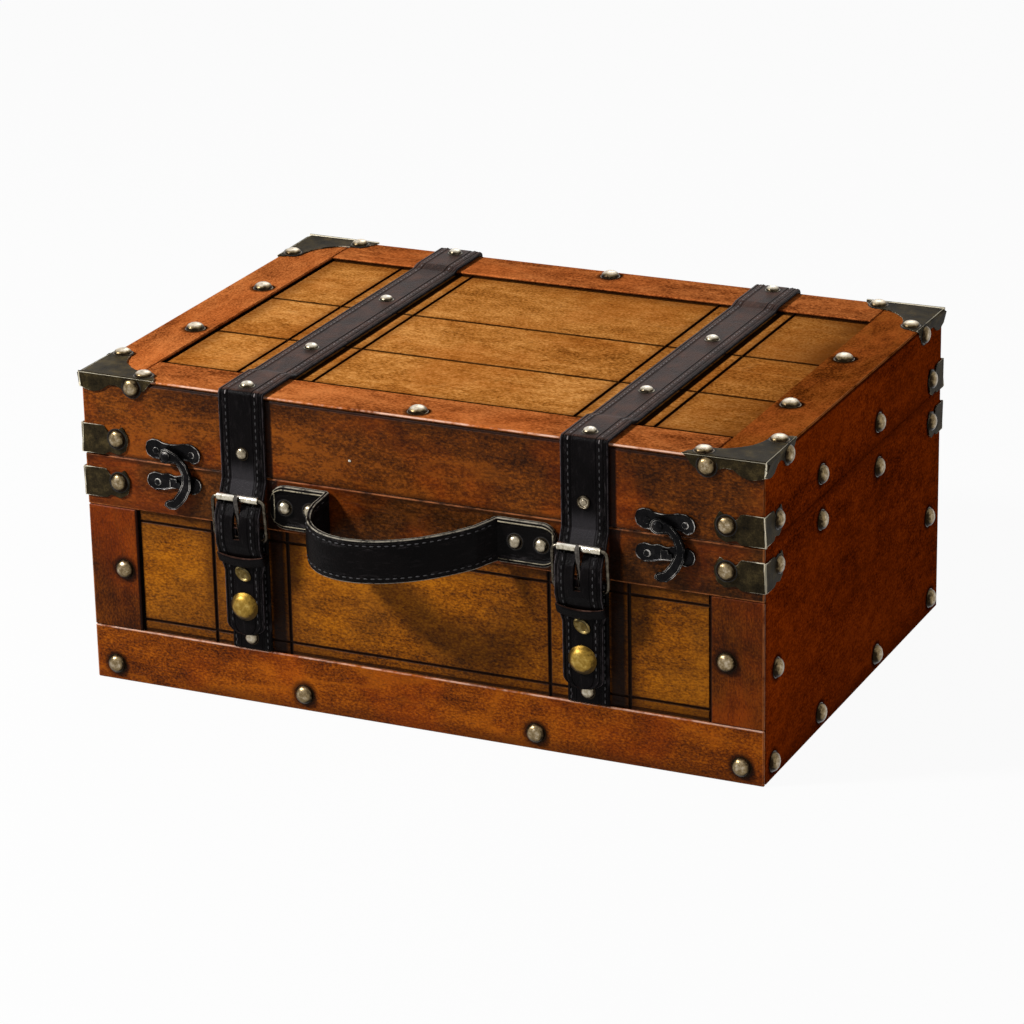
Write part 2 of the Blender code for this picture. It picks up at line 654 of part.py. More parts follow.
def build_corner_metal(lid):
    """Four bands on the base, four bands and four caps on the lid."""
    metal_out = FIT_GAP + METAL
    top = TRUNK_HEIGHT + metal_out - METAL_LAP
    for end_name, end in (("front", -1), ("back", 1)):
        for side_name, side in (("left", -1), ("right", 1)):
            corner = end_name + "_" + side_name
            face = ("front" if end < 0 else "back", side_name)
            wall_y = end * (BACK + metal_out)
            wall_x = side * (HALF_WIDTH + metal_out)
            for name, low, carrier in (("base_corner_band_", BAND_LOW, None),
                                       ("lid_corner_band_", LID_BAND_LOW, lid)):
                band = corner_metal(name + corner, side, end,
                                    [("front", band_outline(BAND_ARM, low, 0)),
                                     ("side", band_outline(BAND_SIDE_ARM, low, METAL_LAP / 2))], carrier)
                middle = low + BAND_HEIGHT * 0.58
                nail(band, [(face[0], (side * (HALF_WIDTH - BAND_NAIL), wall_y, middle)),
                            (face[1], (wall_x, end * (BACK - BAND_SIDE_NAIL), middle))])
            front_cap = [(share * CAP_ARM, top + up * CAP_DROP) for share, up in CAP_SHARES]
            side_drop = CAP_DROP - METAL_LAP / 2
            side_cap = [(share * CAP_SIDE_ARM, top + up * side_drop) for share, up in CAP_SHARES]
            top_cap = [(across * CAP_ARM, along * CAP_SIDE_ARM) for across, along in CAP_TOP_SHARES]
            cap = corner_metal("lid_corner_cap_" + corner, side, end,
                               [("front", front_cap), ("side", side_cap), ("top", top_cap)], lid)
            height = TRUNK_HEIGHT - CAP_NAIL_DROP
            nail(cap, [(face[0], (side * (HALF_WIDTH - CAP_NAIL), wall_y, height)),
                       (face[1], (wall_x, end * (BACK - CAP_SIDE_NAIL), height)),
                       ("top", (side * (HALF_WIDTH - CAP_TOP_NAIL), end * (BACK - CAP_TOP_NAIL_INSET),
                                TRUNK_HEIGHT + metal_out)),
                       ("top", (side * (HALF_WIDTH - CAP_TOP_NAIL_INSET), end * (BACK - CAP_TOP_NAIL),
                                TRUNK_HEIGHT + metal_out))])


def strap_mesh(path, width, across, round_start=False):
    """A leather strip whose path is given as places along Y and heights."""
    return flat_mesh(strip_outline(path, STRAP_THICKNESS, round_start), width, "side", (across, 0, 0))


def build_lid_strap(side_name, side, lid):
    """The strap over the lid, from its tail on the back to the fold above the buckle."""
    across = side * STRAP_OFFSET
    top = TRUNK_HEIGHT + STRAP_MID
    path = fillet([(BACK + STRAP_MID, TRUNK_HEIGHT - STRAP_TAIL), (BACK + STRAP_MID, top),
                   (FRONT - STRAP_MID, top),
                   (FRONT - STRAP_MID, FOLD_HEIGHT + STRAP_THICKNESS / 2 + FIT_GAP)], STRAP_BEND)
    strap = add_part("lid_strap_" + side_name, strap_mesh(path, STRAP_WIDTH, across), "strap_leather", lid)
    surface = TRUNK_HEIGHT + FIT_GAP + STRAP_THICKNESS
    nail(strap, [("top", (across, share * BACK, surface)) for share in STRAP_NAIL_SHARES],
         SMALL_NAIL_RADIUS, SMALL_NAIL_HEIGHT)
    nail(strap, [("front", (across, FRONT - FIT_GAP - STRAP_THICKNESS, STRAP_EYELET_HEIGHT))],
         SMALL_NAIL_RADIUS, SMALL_NAIL_HEIGHT)


def free_end_path():
    """The strap below the fold: behind the roller, over the bar and through the keeper."""
    turn = ROLLER_RADIUS + STRAP_THICKNESS / 2 + LEATHER_SLACK + FIT_GAP
    points = [(STRAP_MID, FOLD_HEIGHT), (STRAP_MID, ROLLER_HEIGHT + 2 * turn)]
    points += ring_points(turn, 205, 250, 2, (ROLLER_OUT, ROLLER_HEIGHT))
    points += [(PUFF_OUT, PUFF_TOP_HEIGHT), (PUFF_OUT, PUFF_LOW_HEIGHT),
               (FREE_END_OUT, KEEPER_LOW + KEEPER_HEIGHT), (FREE_END_OUT, FREE_END_HEIGHT)]
    return fillet([(FRONT - out, height) for out, height in points], LEATHER_BEND, 3)


def free_end_outline(across):
    """The strap's free end seen from the front: it narrows below the keeper to a round tip."""
    half = STRAP_WIDTH / 2
    tip = FREE_END_WIDTH / 2
    right = [(half, FOLD_HEIGHT + STRAP_THICKNESS), (half, KEEPER_LOW),
             (tip, KEEPER_LOW - TAPER_LENGTH), (tip, FREE_END_HEIGHT + tip * 0.55),
             (tip * 0.80, FREE_END_HEIGHT + tip * 0.22), (tip * 0.42, FREE_END_HEIGHT + tip * 0.05),
             (0, FREE_END_HEIGHT)]
    left = [(-along, height) for along, height in right[-2::-1]]
    return [(across + along, height) for along, height in right + left]


def build_strap_end(side_name, side, lid):
    """The part of a strap that lifts: leather with its keeper, buckle and press stud cap."""
    across = side * STRAP_OFFSET
    axis = add_axis("strap_fold_axis_" + side_name, (across, FRONT - STRAP_MID, FOLD_HEIGHT), lid)
    leather = add_part("strap_end_" + side_name,
                       strap_mesh(free_end_path(), STRAP_WIDTH, across, True), "strap_leather", axis)
    trim = flat_mesh(free_end_outline(across), PUFF_OUT * 4, "front", (0, FRONT - PUFF_OUT, 0))
    shape(leather, "INTERSECT", trim)
    slot = TONGUE_WIDTH / 2 + SLOT_CLEARANCE
    shape(leather, "DIFFERENCE",
          box_mesh((across - slot, FRONT - PUFF_OUT - CUT * 2, SLOT_LOW_HEIGHT),
                   (across + slot, FRONT - BAR_OUT, ROLLER_HEIGHT - ROLLER_RADIUS / 2)))
    keeper_half = STRAP_WIDTH / 2 + KEEPER_WALL
    depth = STRAP_THICKNESS / 2 + KEEPER_WALL
    shape(leather, "UNION",
          box_mesh((across - keeper_half, FRONT - FREE_END_OUT - depth, KEEPER_LOW),
                   (across + keeper_half, FRONT - FREE_END_OUT + depth, KEEPER_LOW + KEEPER_HEIGHT)))
    front = FRONT - FREE_END_OUT - STRAP_THICKNESS / 2
    nail(leather, [("front", (across, front, EYELET_HEIGHT))], EYELET_RADIUS, EYELET_RISE)
    seat = (across, front - FIT_GAP - SINK, SNAP_HEIGHT)
    cap = dome_mesh(SNAP_RADIUS, SNAP_RISE, "front", seat, ROUND_SIDES)
    shade_round(add_part("snap_cap_" + side_name, cap, "brass", axis))
    build_buckle(side_name, across, axis)


def build_buckle(side_name, across, axis):
    """Wire frame, roller and tongue."""
    width = FRAME_HALF_WIDTH
    corners = [(0, 0), (width, 0), (width, 1), (-width, 1), (-width, 0), (0, 0)]
    rise = ROLLER_HEIGHT - FRAME_BAR_HEIGHT
    flat = fillet([(along, up * rise) for along, up in corners], FRAME_CORNER, 3)
    curve = bpy.data.curves.new("buckle_wire", "CURVE")
    curve.dimensions = "3D"
    curve.bevel_depth = WIRE_RADIUS
    curve.bevel_resolution = 2
    spline = curve.splines.new("POLY")
    spline.points.add(len(flat) - 2)
    for point, (along, up) in zip(spline.points, flat[:-1]):
        out = BAR_OUT + (ROLLER_OUT - BAR_OUT) * up / rise
        point.co = (across + along, FRONT - out, FRAME_BAR_HEIGHT + up, 1)
    spline.use_cyclic_u = True
    shade_round(add_part("buckle_frame_" + side_name, curve_mesh(curve), "buckle_metal", axis))

    place = (across, FRONT - ROLLER_OUT, ROLLER_HEIGHT)
    roller_axis = add_axis("roller_axis_" + side_name, place, axis)
    roller = add_part("buckle_roller_" + side_name,
                      rod_mesh(ROLLER_RADIUS, ROLLER_LENGTH, "side", place), "buckle_metal", roller_axis)
    shape(roller, "DIFFERENCE", rod_mesh(WIRE_RADIUS + FIT_GAP, ROLLER_LENGTH + CUT, "side", place))

    place = (across, FRONT - BAR_OUT, FRAME_BAR_HEIGHT)
    tongue_axis = add_axis("tongue_axis_" + side_name, place, axis)
    start = Vector((FRONT - BAR_OUT, FRAME_BAR_HEIGHT))
    rest = Vector((FRONT - TONGUE_REST_OUT, ROLLER_HEIGHT))
    bore = WIRE_RADIUS + FIT_GAP
    along = (rest - start).normalized()
    path = fillet([start + along * (bore + TONGUE_EYE_RADIUS) / 2, rest,
                   rest + Vector((TONGUE_THICKNESS / 2, TONGUE_TIP))], LEATHER_BEND, 3)
    shank = flat_mesh(strip_outline(path, TONGUE_THICKNESS), TONGUE_WIDTH, "side", (across, 0, 0))
    eye = rod_mesh(TONGUE_EYE_RADIUS, TONGUE_WIDTH + METAL_LAP, "side", place)
    tongue = add_part("buckle_tongue_" + side_name, eye, "buckle_metal", tongue_axis)
    shape(tongue, "UNION", shank)
    shape(tongue, "DIFFERENCE", rod_mesh(bore, TONGUE_WIDTH + CUT, "side", place))


def build_base_strap(side_name, side):
    """The short strap nailed to the base, with the stud that the cap presses on."""
    across = side * STRAP_OFFSET
    half = BASE_STRAP_WIDTH / 2
    back = PANEL_FRONT - FIT_GAP
    front = back - STRAP_THICKNESS
    strap = add_part("base_strap_" + side_name,
                     box_mesh((across - half, front, BOTTOM_RAIL_HEIGHT + FIT_GAP * 2),
                              (across + half, back, BASE_STRAP_TOP)), "strap_leather")
    stud_front = FRONT - FREE_END_OUT + STRAP_THICKNESS / 2 + FIT_GAP
    length = front + SINK - stud_front
    stud = rod_mesh(SNAP_STUD_RADIUS, length, "front", (across, stud_front + length / 2, SNAP_HEIGHT))
    shape(strap, "UNION", stud)
    nail(strap, [("front", (across, front, BASE_STRAP_RIVET_HEIGHT))], SMALL_NAIL_RADIUS, SMALL_NAIL_HEIGHT)


# Outlines of the latch metal: shares of a half width and a half height
PLATE_SHARES = ((-1, 0.05), (-0.92, 0.70), (-0.70, 1), (-0.45, 0.82), (-0.25, 0.52), (0, 0.42),
                (0.25, 0.55), (0.50, 0.92), (0.75, 1), (0.94, 0.60), (1, -0.05), (0.92, -0.62),
                (0.74, -0.90), (0.50, -0.66), (0.22, -0.98), (-0.18, -1), (-0.50, -0.70),
                (-0.74, -0.84), (-0.94, -0.55))
CATCH_SHARES = ((-1, -0.05), (-0.93, 0.62), (-0.70, 0.95), (-0.42, 0.80), (-0.22, 0.98), (0.05, 0.72),
                (0.30, 0.95), (0.52, 0.74), (0.76, 0.92), (0.95, 0.55), (1, 0), (0.93, -0.65),
                (0.70, -1), (0.45, -0.80), (0.20, -0.55), (-0.10, -0.62), (-0.40, -0.90),
                (-0.72, -1), (-0.94, -0.60))
# Outline of the hook, from its eye down its outer side and back: shares of reach and drop
HOOK_SHARES = ((0.52, 0.048), (0.84, -0.133), (1, -0.327), (0.935, -0.573), (0.71, -0.735),
               (0.44, -0.860), (0.50, -1), (0.22, -0.945), (-0.12, -0.942), (-0.06, -0.860),
               (0.26, -0.800), (0.52, -0.640), (0.69, -0.480), (0.705, -0.330), (0.60, -0.205),
               (0.40, -0.105))


def build_latch(side_name, centre, lid):
    """Plate and hook on the lid, catch on the base."""
    pivot = centre - PIVOT_SHIFT
    plate_y = FRONT - FIT_GAP - LATCH_METAL / 2
    plate_front = FRONT - FIT_GAP - LATCH_METAL
    outline = [(centre + across * LATCH_HALF_WIDTH, LATCH_PLATE_HEIGHT + up * LATCH_HALF_HEIGHT)
               for across, up in PLATE_SHARES]
    plate = add_part("latch_plate_" + side_name,
                     flat_mesh(outline, LATCH_METAL, "front", (0, plate_y, 0)), "latch_metal", lid)
    hook_back = FRONT - HOOK_BACK
    hook_front = hook_back - HOOK_METAL
    boss_front = plate_front - PIVOT_BOSS_RISE
    head_back = hook_front - FIT_GAP
    for radius, back, front in ((PIVOT_BOSS_RADIUS, plate_front + SINK, boss_front),
                                (PIVOT_PIN_RADIUS, boss_front + SINK, head_back - SINK),
                                (PIVOT_HEAD_RADIUS, head_back, head_back - PIVOT_HEAD_RISE)):
        shape(plate, "UNION",
              rod_mesh(radius, back - front, "front", (pivot, (back + front) / 2, PIVOT_HEIGHT)))

    axis = add_axis("latch_axis_" + side_name, (pivot, hook_back, PIVOT_HEIGHT), lid)
    eye = ring_points(HOOK_EYE_RADIUS, 300, 80, 8)
    arm = [(across * HOOK_REACH, up * HOOK_DROP) for across, up in HOOK_SHARES]
    outline = [(pivot + along, PIVOT_HEIGHT + up) for along, up in eye + arm]
    hook = add_part("latch_hook_" + side_name,
                    flat_mesh(outline, HOOK_METAL, "front", (0, (hook_back + hook_front) / 2, 0)),
                    "latch_metal", axis)
    shape(hook, "DIFFERENCE",
          rod_mesh(PIVOT_PIN_RADIUS + FIT_GAP, HOOK_METAL + CUT, "front",
                   (pivot, (hook_back + hook_front) / 2, PIVOT_HEIGHT)))

    outline = [(centre + across * LATCH_HALF_WIDTH, CATCH_HEIGHT + up * LATCH_HALF_HEIGHT * 0.9)
               for across, up in CATCH_SHARES]
    catch = add_part("latch_catch_" + side_name,
                     flat_mesh(outline, LATCH_METAL, "front", (0, plate_y, 0)), "latch_metal")
    lug = centre + LUG_SHIFT - LUG_WIDTH / 2
    shape(catch, "UNION",
          box_mesh((lug - LUG_WIDTH / 2, hook_back + FIT_GAP, CATCH_HEIGHT - LUG_HEIGHT / 2),
                   (lug + LUG_WIDTH / 2, plate_front + SINK, CATCH_HEIGHT + LUG_HEIGHT / 2)))


def handle_tab_outline(side, inset, inner):
    """A tab square at its inner end and rounded at its outer one."""
    half = HANDLE_TAB_HALF_HEIGHT - inset
    outer = HANDLE_TAB_INNER + HANDLE_TAB_LENGTH - inset
    corner = HANDLE_TAB_CORNER - inset
    points = [(inner, -half)]
    points += ring_points(corner, -90, 0, 5, (outer - corner, corner - half))
    points += ring_points(corner, 0, 90, 5, (outer - corner, half - corner))
    points += [(inner, half)]
    return [(side * across, HANDLE_HEIGHT + up) for across, up in points]


def build_handle():
    """The stitched band that bows out from two riveted tabs."""
    for side_name, side in (("left", -1), ("right", 1)):
        middle = FRONT - FIT_GAP - HANDLE_TAB_THICKNESS / 2
        surface = FRONT - FIT_GAP - HANDLE_TAB_THICKNESS
        mesh = flat_mesh(handle_tab_outline(side, 0, HANDLE_TAB_INNER),
                         HANDLE_TAB_THICKNESS, "front", (0, middle, 0))
        tab = add_part("handle_tab_" + side_name, mesh, "handle_leather")
        pocket = handle_tab_outline(side, HANDLE_TAB_RIM, HANDLE_TAB_INNER - CUT)
        shape(tab, "DIFFERENCE", flat_mesh(pocket, HANDLE_TAB_POCKET * 2, "front", (0, surface, 0)))
        sunk = surface + HANDLE_TAB_POCKET
        fold = sorted((side * HANDLE_TAB_INNER, side * (HANDLE_TAB_INNER + HANDLE_FOLD_LENGTH)))
        rise = HANDLE_FOLD_HEIGHT / 2
        shape(tab, "UNION", box_mesh((fold[0], FRONT - HANDLE_FOLD_OUT, HANDLE_HEIGHT - rise),
                                     (fold[1], sunk + SINK, HANDLE_HEIGHT + rise)))
        nail(tab, [("front", (side * (HANDLE_TAB_INNER + inset), sunk, HANDLE_HEIGHT))
                   for inset in HANDLE_RIVET_INSETS], SMALL_NAIL_RADIUS, NAIL_HEIGHT)

    axis = add_axis("handle_axis", (0, FRONT - HANDLE_ROOT_OUT, HANDLE_HEIGHT))
    root = HANDLE_TAB_INNER - FIT_GAP
    controls = [Vector((-root, HANDLE_ROOT_OUT)), Vector((-HANDLE_LEAN_LEFT_SHARE * root, HANDLE_PULL)),
                Vector((HANDLE_LEAN_RIGHT_SHARE * root, HANDLE_PULL)), Vector((root, HANDLE_ROOT_OUT))]
    path = []
    for step in range(HANDLE_STEPS + 1):
        share = step / HANDLE_STEPS
        weights = ((1 - share) ** 3, 3 * (1 - share) ** 2 * share, 3 * (1 - share) * share ** 2, share ** 3)
        place = sum((control * weight for control, weight in zip(controls, weights)), Vector((0, 0)))
        path.append(Vector((place.x, FRONT - place.y)))
    mesh = flat_mesh(strip_outline(path, HANDLE_BAND_THICKNESS), HANDLE_BAND_HALF_HEIGHT * 2)
    for vertex in mesh.vertices:
        out = FRONT - vertex.co.y - HANDLE_ROOT_OUT
        grown = min(max(out / (HANDLE_FULL_OUT - HANDLE_ROOT_OUT), 0), 1)
        height = HANDLE_ROOT_SHARE + (1 - HANDLE_ROOT_SHARE) * grown
        vertex.co.z = HANDLE_HEIGHT + vertex.co.z * height - HANDLE_DROOP_SHARE * max(out, 0)
    band = add_part("carry_handle", mesh, "handle_leather", axis)
    notch = FRONT - HANDLE_FOLD_OUT - HANDLE_FOLD_CLEARANCE
    rise = HANDLE_BAND_HALF_HEIGHT + CUT
    for side in (-1, 1):
        ends = sorted((side * root, side * (root + HANDLE_TAB_LENGTH)))
        shape(band, "DIFFERENCE", box_mesh((ends[0], notch, HANDLE_HEIGHT - rise),
                                           (ends[1], FRONT + CUT, HANDLE_HEIGHT + rise)))


def build_hinge(side_name, side, lid):
    """A butt hinge on the back: two leaves with knuckles, and their pin."""
    centre = side * (HALF_WIDTH - HINGE_INSET)
    pin_at = (centre, BACK + HINGE_OUT, HINGE_HEIGHT)
    leaf_y = BACK + FIT_GAP + HINGE_METAL / 2
    clear = HINGE_KNUCKLE_RADIUS + FIT_GAP
    third = HINGE_WIDTH / 3
    edges = (-HINGE_WIDTH / 2, -third / 2, third / 2, HINGE_WIDTH / 2)
    root = HINGE_KNUCKLE_RADIUS / 3
    for leaf, up, tabs, carrier in (("base", -1, (0, 2), None), ("lid", 1, (1,), lid)):
        outline = [(edges[0], HINGE_LEAF), (edges[0], clear + METAL_LAP)]
        for tab in tabs:
            low = edges[tab] + METAL_LAP
            high = edges[tab + 1] - METAL_LAP
            outline += [(low, clear), (low, root), (high, root), (high, clear)]
        outline += [(edges[3], clear + METAL_LAP), (edges[3], HINGE_LEAF)]
        points = [(centre + across, HINGE_HEIGHT + up * height) for across, height in outline]
        part = add_part("hinge_" + leaf + "_leaf_" + side_name,
                        flat_mesh(points, HINGE_METAL, "front", (0, leaf_y, 0)), "hinge_metal", carrier)
        knuckles = []
        for tab in tabs:
            low = edges[tab] + (FIT_GAP / 2 if tab > 0 else 0)
            high = edges[tab + 1] - (FIT_GAP / 2 if tab < 2 else 0)
            middle = centre + (low + high) / 2
            knuckles.append(rod_mesh(HINGE_KNUCKLE_RADIUS, high - low, "side", (middle,) + pin_at[1:]))
        shape(part, "UNION", joined(knuckles))
        shape(part, "DIFFERENCE",
              rod_mesh(HINGE_PIN_RADIUS + FIT_GAP, HINGE_WIDTH + CUT, "side", pin_at))
        nail(part, [("back", (centre + across * HINGE_WIDTH / 3, BACK + FIT_GAP + HINGE_METAL,
                              HINGE_HEIGHT + up * HINGE_SCREW_OUT)) for across in (-1, 1)],
             HINGE_SCREW_RADIUS, HINGE_SCREW_RISE)
    pin = add_part("hinge_pin_" + side_name,
                   rod_mesh(HINGE_PIN_RADIUS, HINGE_WIDTH + METAL * 2, "side", pin_at), "hinge_metal")
    shade_round(pin)


lid_axis = add_axis("lid_axis", (0, BACK + HINGE_OUT, HINGE_HEIGHT))
build_base()
build_lid(lid_axis)
build_corner_metal(lid_axis)
for name, sign in (("left", -1), ("right", 1)):
    build_lid_strap(name, sign, lid_axis)
    build_strap_end(name, sign, lid_axis)
    build_base_strap(name, sign)
    build_hinge(name, sign, lid_axis)
build_latch("left", LATCH_INSET_LEFT - HALF_WIDTH, lid_axis)
build_latch("right", HALF_WIDTH - LATCH_INSET_RIGHT, lid_axis)
build_handle()
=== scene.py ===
"""Looks of the wooden trunk: its woods, leathers and metals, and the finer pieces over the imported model.

Metres, +Z up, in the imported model's own frame. X runs along the trunk's width and -Y is its front.
"""

import math

import bmesh
import bpy
from mathutils import Matrix, Vector
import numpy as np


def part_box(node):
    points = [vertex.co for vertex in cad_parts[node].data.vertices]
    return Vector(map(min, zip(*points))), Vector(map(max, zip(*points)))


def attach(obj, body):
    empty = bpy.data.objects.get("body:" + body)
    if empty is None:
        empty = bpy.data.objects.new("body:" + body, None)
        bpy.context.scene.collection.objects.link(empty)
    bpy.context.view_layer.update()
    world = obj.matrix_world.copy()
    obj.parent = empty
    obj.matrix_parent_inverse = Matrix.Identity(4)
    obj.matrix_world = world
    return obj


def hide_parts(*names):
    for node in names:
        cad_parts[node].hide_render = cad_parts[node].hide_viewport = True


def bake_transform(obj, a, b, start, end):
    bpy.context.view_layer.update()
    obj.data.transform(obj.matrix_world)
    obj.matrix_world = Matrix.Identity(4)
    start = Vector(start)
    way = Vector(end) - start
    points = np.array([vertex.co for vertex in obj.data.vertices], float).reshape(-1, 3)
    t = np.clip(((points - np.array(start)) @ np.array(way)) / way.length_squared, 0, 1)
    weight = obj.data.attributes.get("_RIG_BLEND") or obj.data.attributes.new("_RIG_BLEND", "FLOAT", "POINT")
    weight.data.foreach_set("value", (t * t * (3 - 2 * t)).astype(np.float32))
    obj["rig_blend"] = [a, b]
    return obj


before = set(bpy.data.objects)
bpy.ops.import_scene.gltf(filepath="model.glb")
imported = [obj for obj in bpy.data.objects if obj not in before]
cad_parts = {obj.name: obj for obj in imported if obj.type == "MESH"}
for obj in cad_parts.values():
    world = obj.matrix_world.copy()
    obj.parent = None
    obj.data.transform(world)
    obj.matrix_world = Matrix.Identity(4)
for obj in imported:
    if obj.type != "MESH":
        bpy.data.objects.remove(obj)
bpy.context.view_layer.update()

# Box, as packed
HALF_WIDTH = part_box("base_front_top_rail")[1].x
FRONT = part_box("base_front_top_rail")[0].y
BACK = -FRONT
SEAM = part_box("base_front_top_rail")[1].z
PANEL_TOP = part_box("base_front_top_rail")[0].z
BOTTOM_RAIL_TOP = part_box("base_front_bottom_rail")[1].z
LID_TOP = SEAM + 0.044
WALL = 0.008
FIT_GAP = 0.0003
STILE_EDGE = HALF_WIDTH - 0.0285
LID_RAIL_EDGE = HALF_WIDTH - 0.029
LID_END_EDGE = BACK - 0.0305
STRAP_OFFSET = 0.0955
BESIDE_STRAP = 0.0218
PLANK_SEAMS = (-0.037, 0.025)
PANEL_LINES = (BOTTOM_RAIL_TOP + 0.0065, PANEL_TOP - 0.0065)
SIDES = (("left", -1), ("right", 1))
TRIM_THICKNESS = 0.0017

# Dome nails
NAIL_RADIUS = 0.0055
NAIL_RISE = 0.0035
SMALL_NAIL_RADIUS = 0.0041
SMALL_NAIL_RISE = 0.0026
RAIL_NAIL_HEIGHT = 0.009
RAIL_NAILS = (HALF_WIDTH - 0.012, 0.066)
SIDE_NAILS = (-0.052, 0.032)
SIDE_END_NAIL = BACK - 0.0125
SIDE_MID_NAIL = BACK - 0.017
SIDE_HEIGHTS = {"low": SEAM - 0.012, "high": SEAM + 0.0125, "middle": 0.058}
STILE_NAILS = (HALF_WIDTH - 0.020,)
STILE_NAIL_HEIGHT = 0.064
LID_SIDE_NAIL = HALF_WIDTH - 0.020
LID_SIDE_NAILS = (-0.044, 0.0335)
LID_END_NAIL = BACK - 0.0085

# Leather
STRAP_THICKNESS = 0.0023
STRAP_MID = FIT_GAP + STRAP_THICKNESS / 2
STRAP_SURFACE = FIT_GAP + STRAP_THICKNESS
STRAP_NAIL_SHARES = (-0.954, -0.406, 0.276, 0.946)


class Tone:
    """A value or a colour in a paint. Sums written on it add the nodes."""

    def __init__(self, paint, socket):
        self.paint = paint
        self.socket = socket

    def __add__(self, other):
        return self.paint.sum("ADD", self, other)

    def __radd__(self, other):
        return self.paint.sum("ADD", other, self)

    def __sub__(self, other):
        return self.paint.sum("SUBTRACT", self, other)

    def __rsub__(self, other):
        return self.paint.sum("SUBTRACT", other, self)

    def __mul__(self, other):
        return self.paint.sum("MULTIPLY", self, other)


class Paint:
    """A finish: the nodes of one material, or of the studio's sky."""

    def __init__(self, tree):
        self.nodes = tree.nodes
        self.links = tree.links

    def node(self, kind, settings, values, output=0):
        """Any node: its settings first, then the numbers or links of its sockets."""
        made = self.nodes.new(kind)
        for setting, value in settings.items():
            if setting == "stops":
                self.set_stops(made.color_ramp, value)
            else:
                setattr(made, setting, value)
        for socket, value in values.items():
            self.feed(made.inputs[socket], value)
        return Tone(self, made.outputs[output])

    def set_stops(self, ramp, stops):
        """Places and colours of a colour ramp."""
        while len(ramp.elements) < len(stops):
            ramp.elements.new(1)
        for element, (place, colour) in zip(ramp.elements, stops):
            element.position = place
            element.color = colour

    def feed(self, socket, value):
        """Link a tone to a socket, or write a plain number there."""
        if isinstance(value, Tone):
            self.links.new(value.socket, socket)
        else:
            socket.default_value = value

    def sum(self, operation, *values):
        return self.node("ShaderNodeMath", {"operation": operation}, dict(enumerate(values)))

    def place(self):
        """Where a point lies on the trunk at rest."""
        return self.node("ShaderNodeTexCoord", {}, {}, "Object")

    def normal(self):
        return self.node("ShaderNodeTexCoord", {}, {}, "Normal")

    def carried(self, name, output="Vector"):
        """A value that the mesh carries at each point."""
        return self.node("ShaderNodeAttribute", {"attribute_name": name}, {}, output)

    def axis(self, vector, letter):
        return self.node("ShaderNodeSeparateXYZ", {}, {0: vector}, letter.upper())

    def stretched(self, vector, size):
        """Coordinates scaled so that a noise has its own pitch in each direction."""
        return self.node("ShaderNodeVectorMath", {"operation": "MULTIPLY"}, {0: vector, 1: size})

    def shifted(self, vector, amount):
        return self.node("ShaderNodeVectorMath", {"operation": "ADD"}, {0: vector, 1: amount})

    def noise(self, vector, scale, detail, rough):
        return self.node("ShaderNodeTexNoise", {},
                         {"Vector": vector, "Scale": scale, "Detail": detail, "Roughness": rough}, "Fac")

    def cells(self, vector, scale):
        return self.node("ShaderNodeTexVoronoi", {"feature": "F1"},
                         {"Vector": vector, "Scale": scale}, "Distance")

    def ease(self, value, low, high):
        """A smooth step from 0 at low to 1 at high."""
        return self.node("ShaderNodeMapRange", {"interpolation_type": "SMOOTHSTEP"},
                         {0: value, 1: low, 2: high, 3: 0.0, 4: 1.0})

    def mix(self, share, under, over):
        return self.node("ShaderNodeMix", {"data_type": "RGBA"}, {0: share, 6: under, 7: over}, 2)

    def times(self, colour, value):
        """A colour made darker or lighter by a value."""
        grey = self.node("ShaderNodeCombineXYZ", {}, {0: value, 1: value, 2: value})
        plain = colour if isinstance(colour, Tone) else colour[:3]
        return self.node("ShaderNodeVectorMath", {"operation": "MULTIPLY"}, {0: plain, 1: grey})

    def ramp(self, value, stops):
        return self.node("ShaderNodeValToRGB", {"stops": stops}, {0: value}, "Color")

    def most(self, values):
        """The largest of several values."""
        top = values[0]
        for value in values[1:]:
            top = self.sum("MAXIMUM", top, value)
        return top

    def apart(self, value, at):
        """How far a value is from a place, either way."""
        return self.sum("ABSOLUTE", value - at)

    def line(self, coordinate, at, half, soft):
        """1 on a line across a board and 0 away from it."""
        return 1 - self.ease(self.apart(coordinate, at), half, half + soft)

    def ring(self, vector, centre, inner, outer):
        """1 within a distance of a place, fading to 0."""
        away = self.node("ShaderNodeVectorMath", {"operation": "DISTANCE"}, {0: vector, 1: centre}, "Value")
        return 1 - self.ease(away, inner, outer)

    def bump(self, height, depth):
        """Small relief; the depth is in metres for a height of 1."""
        return self.node("ShaderNodeBump", {},
                         {"Height": height, "Distance": depth, "Strength": 1.0}, "Normal")


paints = {}


class Finish(Paint):
    """A material with its own shader, kept among the paints under its name."""

    def __init__(self, name, roughness=0.5, metallic=0.0, **plain):
        self.material = bpy.data.materials.new(name)
        self.material.use_nodes = True
        super().__init__(self.material.node_tree)
        self.shader = self.nodes["Principled BSDF"]
        self.set(roughness=roughness, metallic=metallic, **plain)
        paints[name] = self.material

    def set(self, **values):
        """Feed the shader's sockets."""
        for socket, value in values.items():
            self.feed(self.shader.inputs[socket.replace("_", " ").title().replace("Ior", "IOR")], value)


def tone(red, green, blue):
    """A colour as it is seen on a screen, 0 to 255, for the shader."""
    def linear(value):
        share = value / 255
        return share / 12.92 if share <= 0.04045 else ((share + 0.055) / 1.055) ** 2.4
    return (linear(red), linear(green), linear(blue), 1)


# Woods: pitches along and across the grain, in waves to the metre
BLOTCH = (10, 19)
MOTTLE = (80, 130)
SPECK = (620, 980)
FIBRE = (45, 850)
FIGURE = (5, 22)
FIGURE_LINES = 10
PORES = (170, 2400)
SPECKLE = 0.85
STREAK = 0.18
NAIL_POLISH_AND_SHADE = (NAIL_RADIUS * 0.98, NAIL_RADIUS * 1.6)

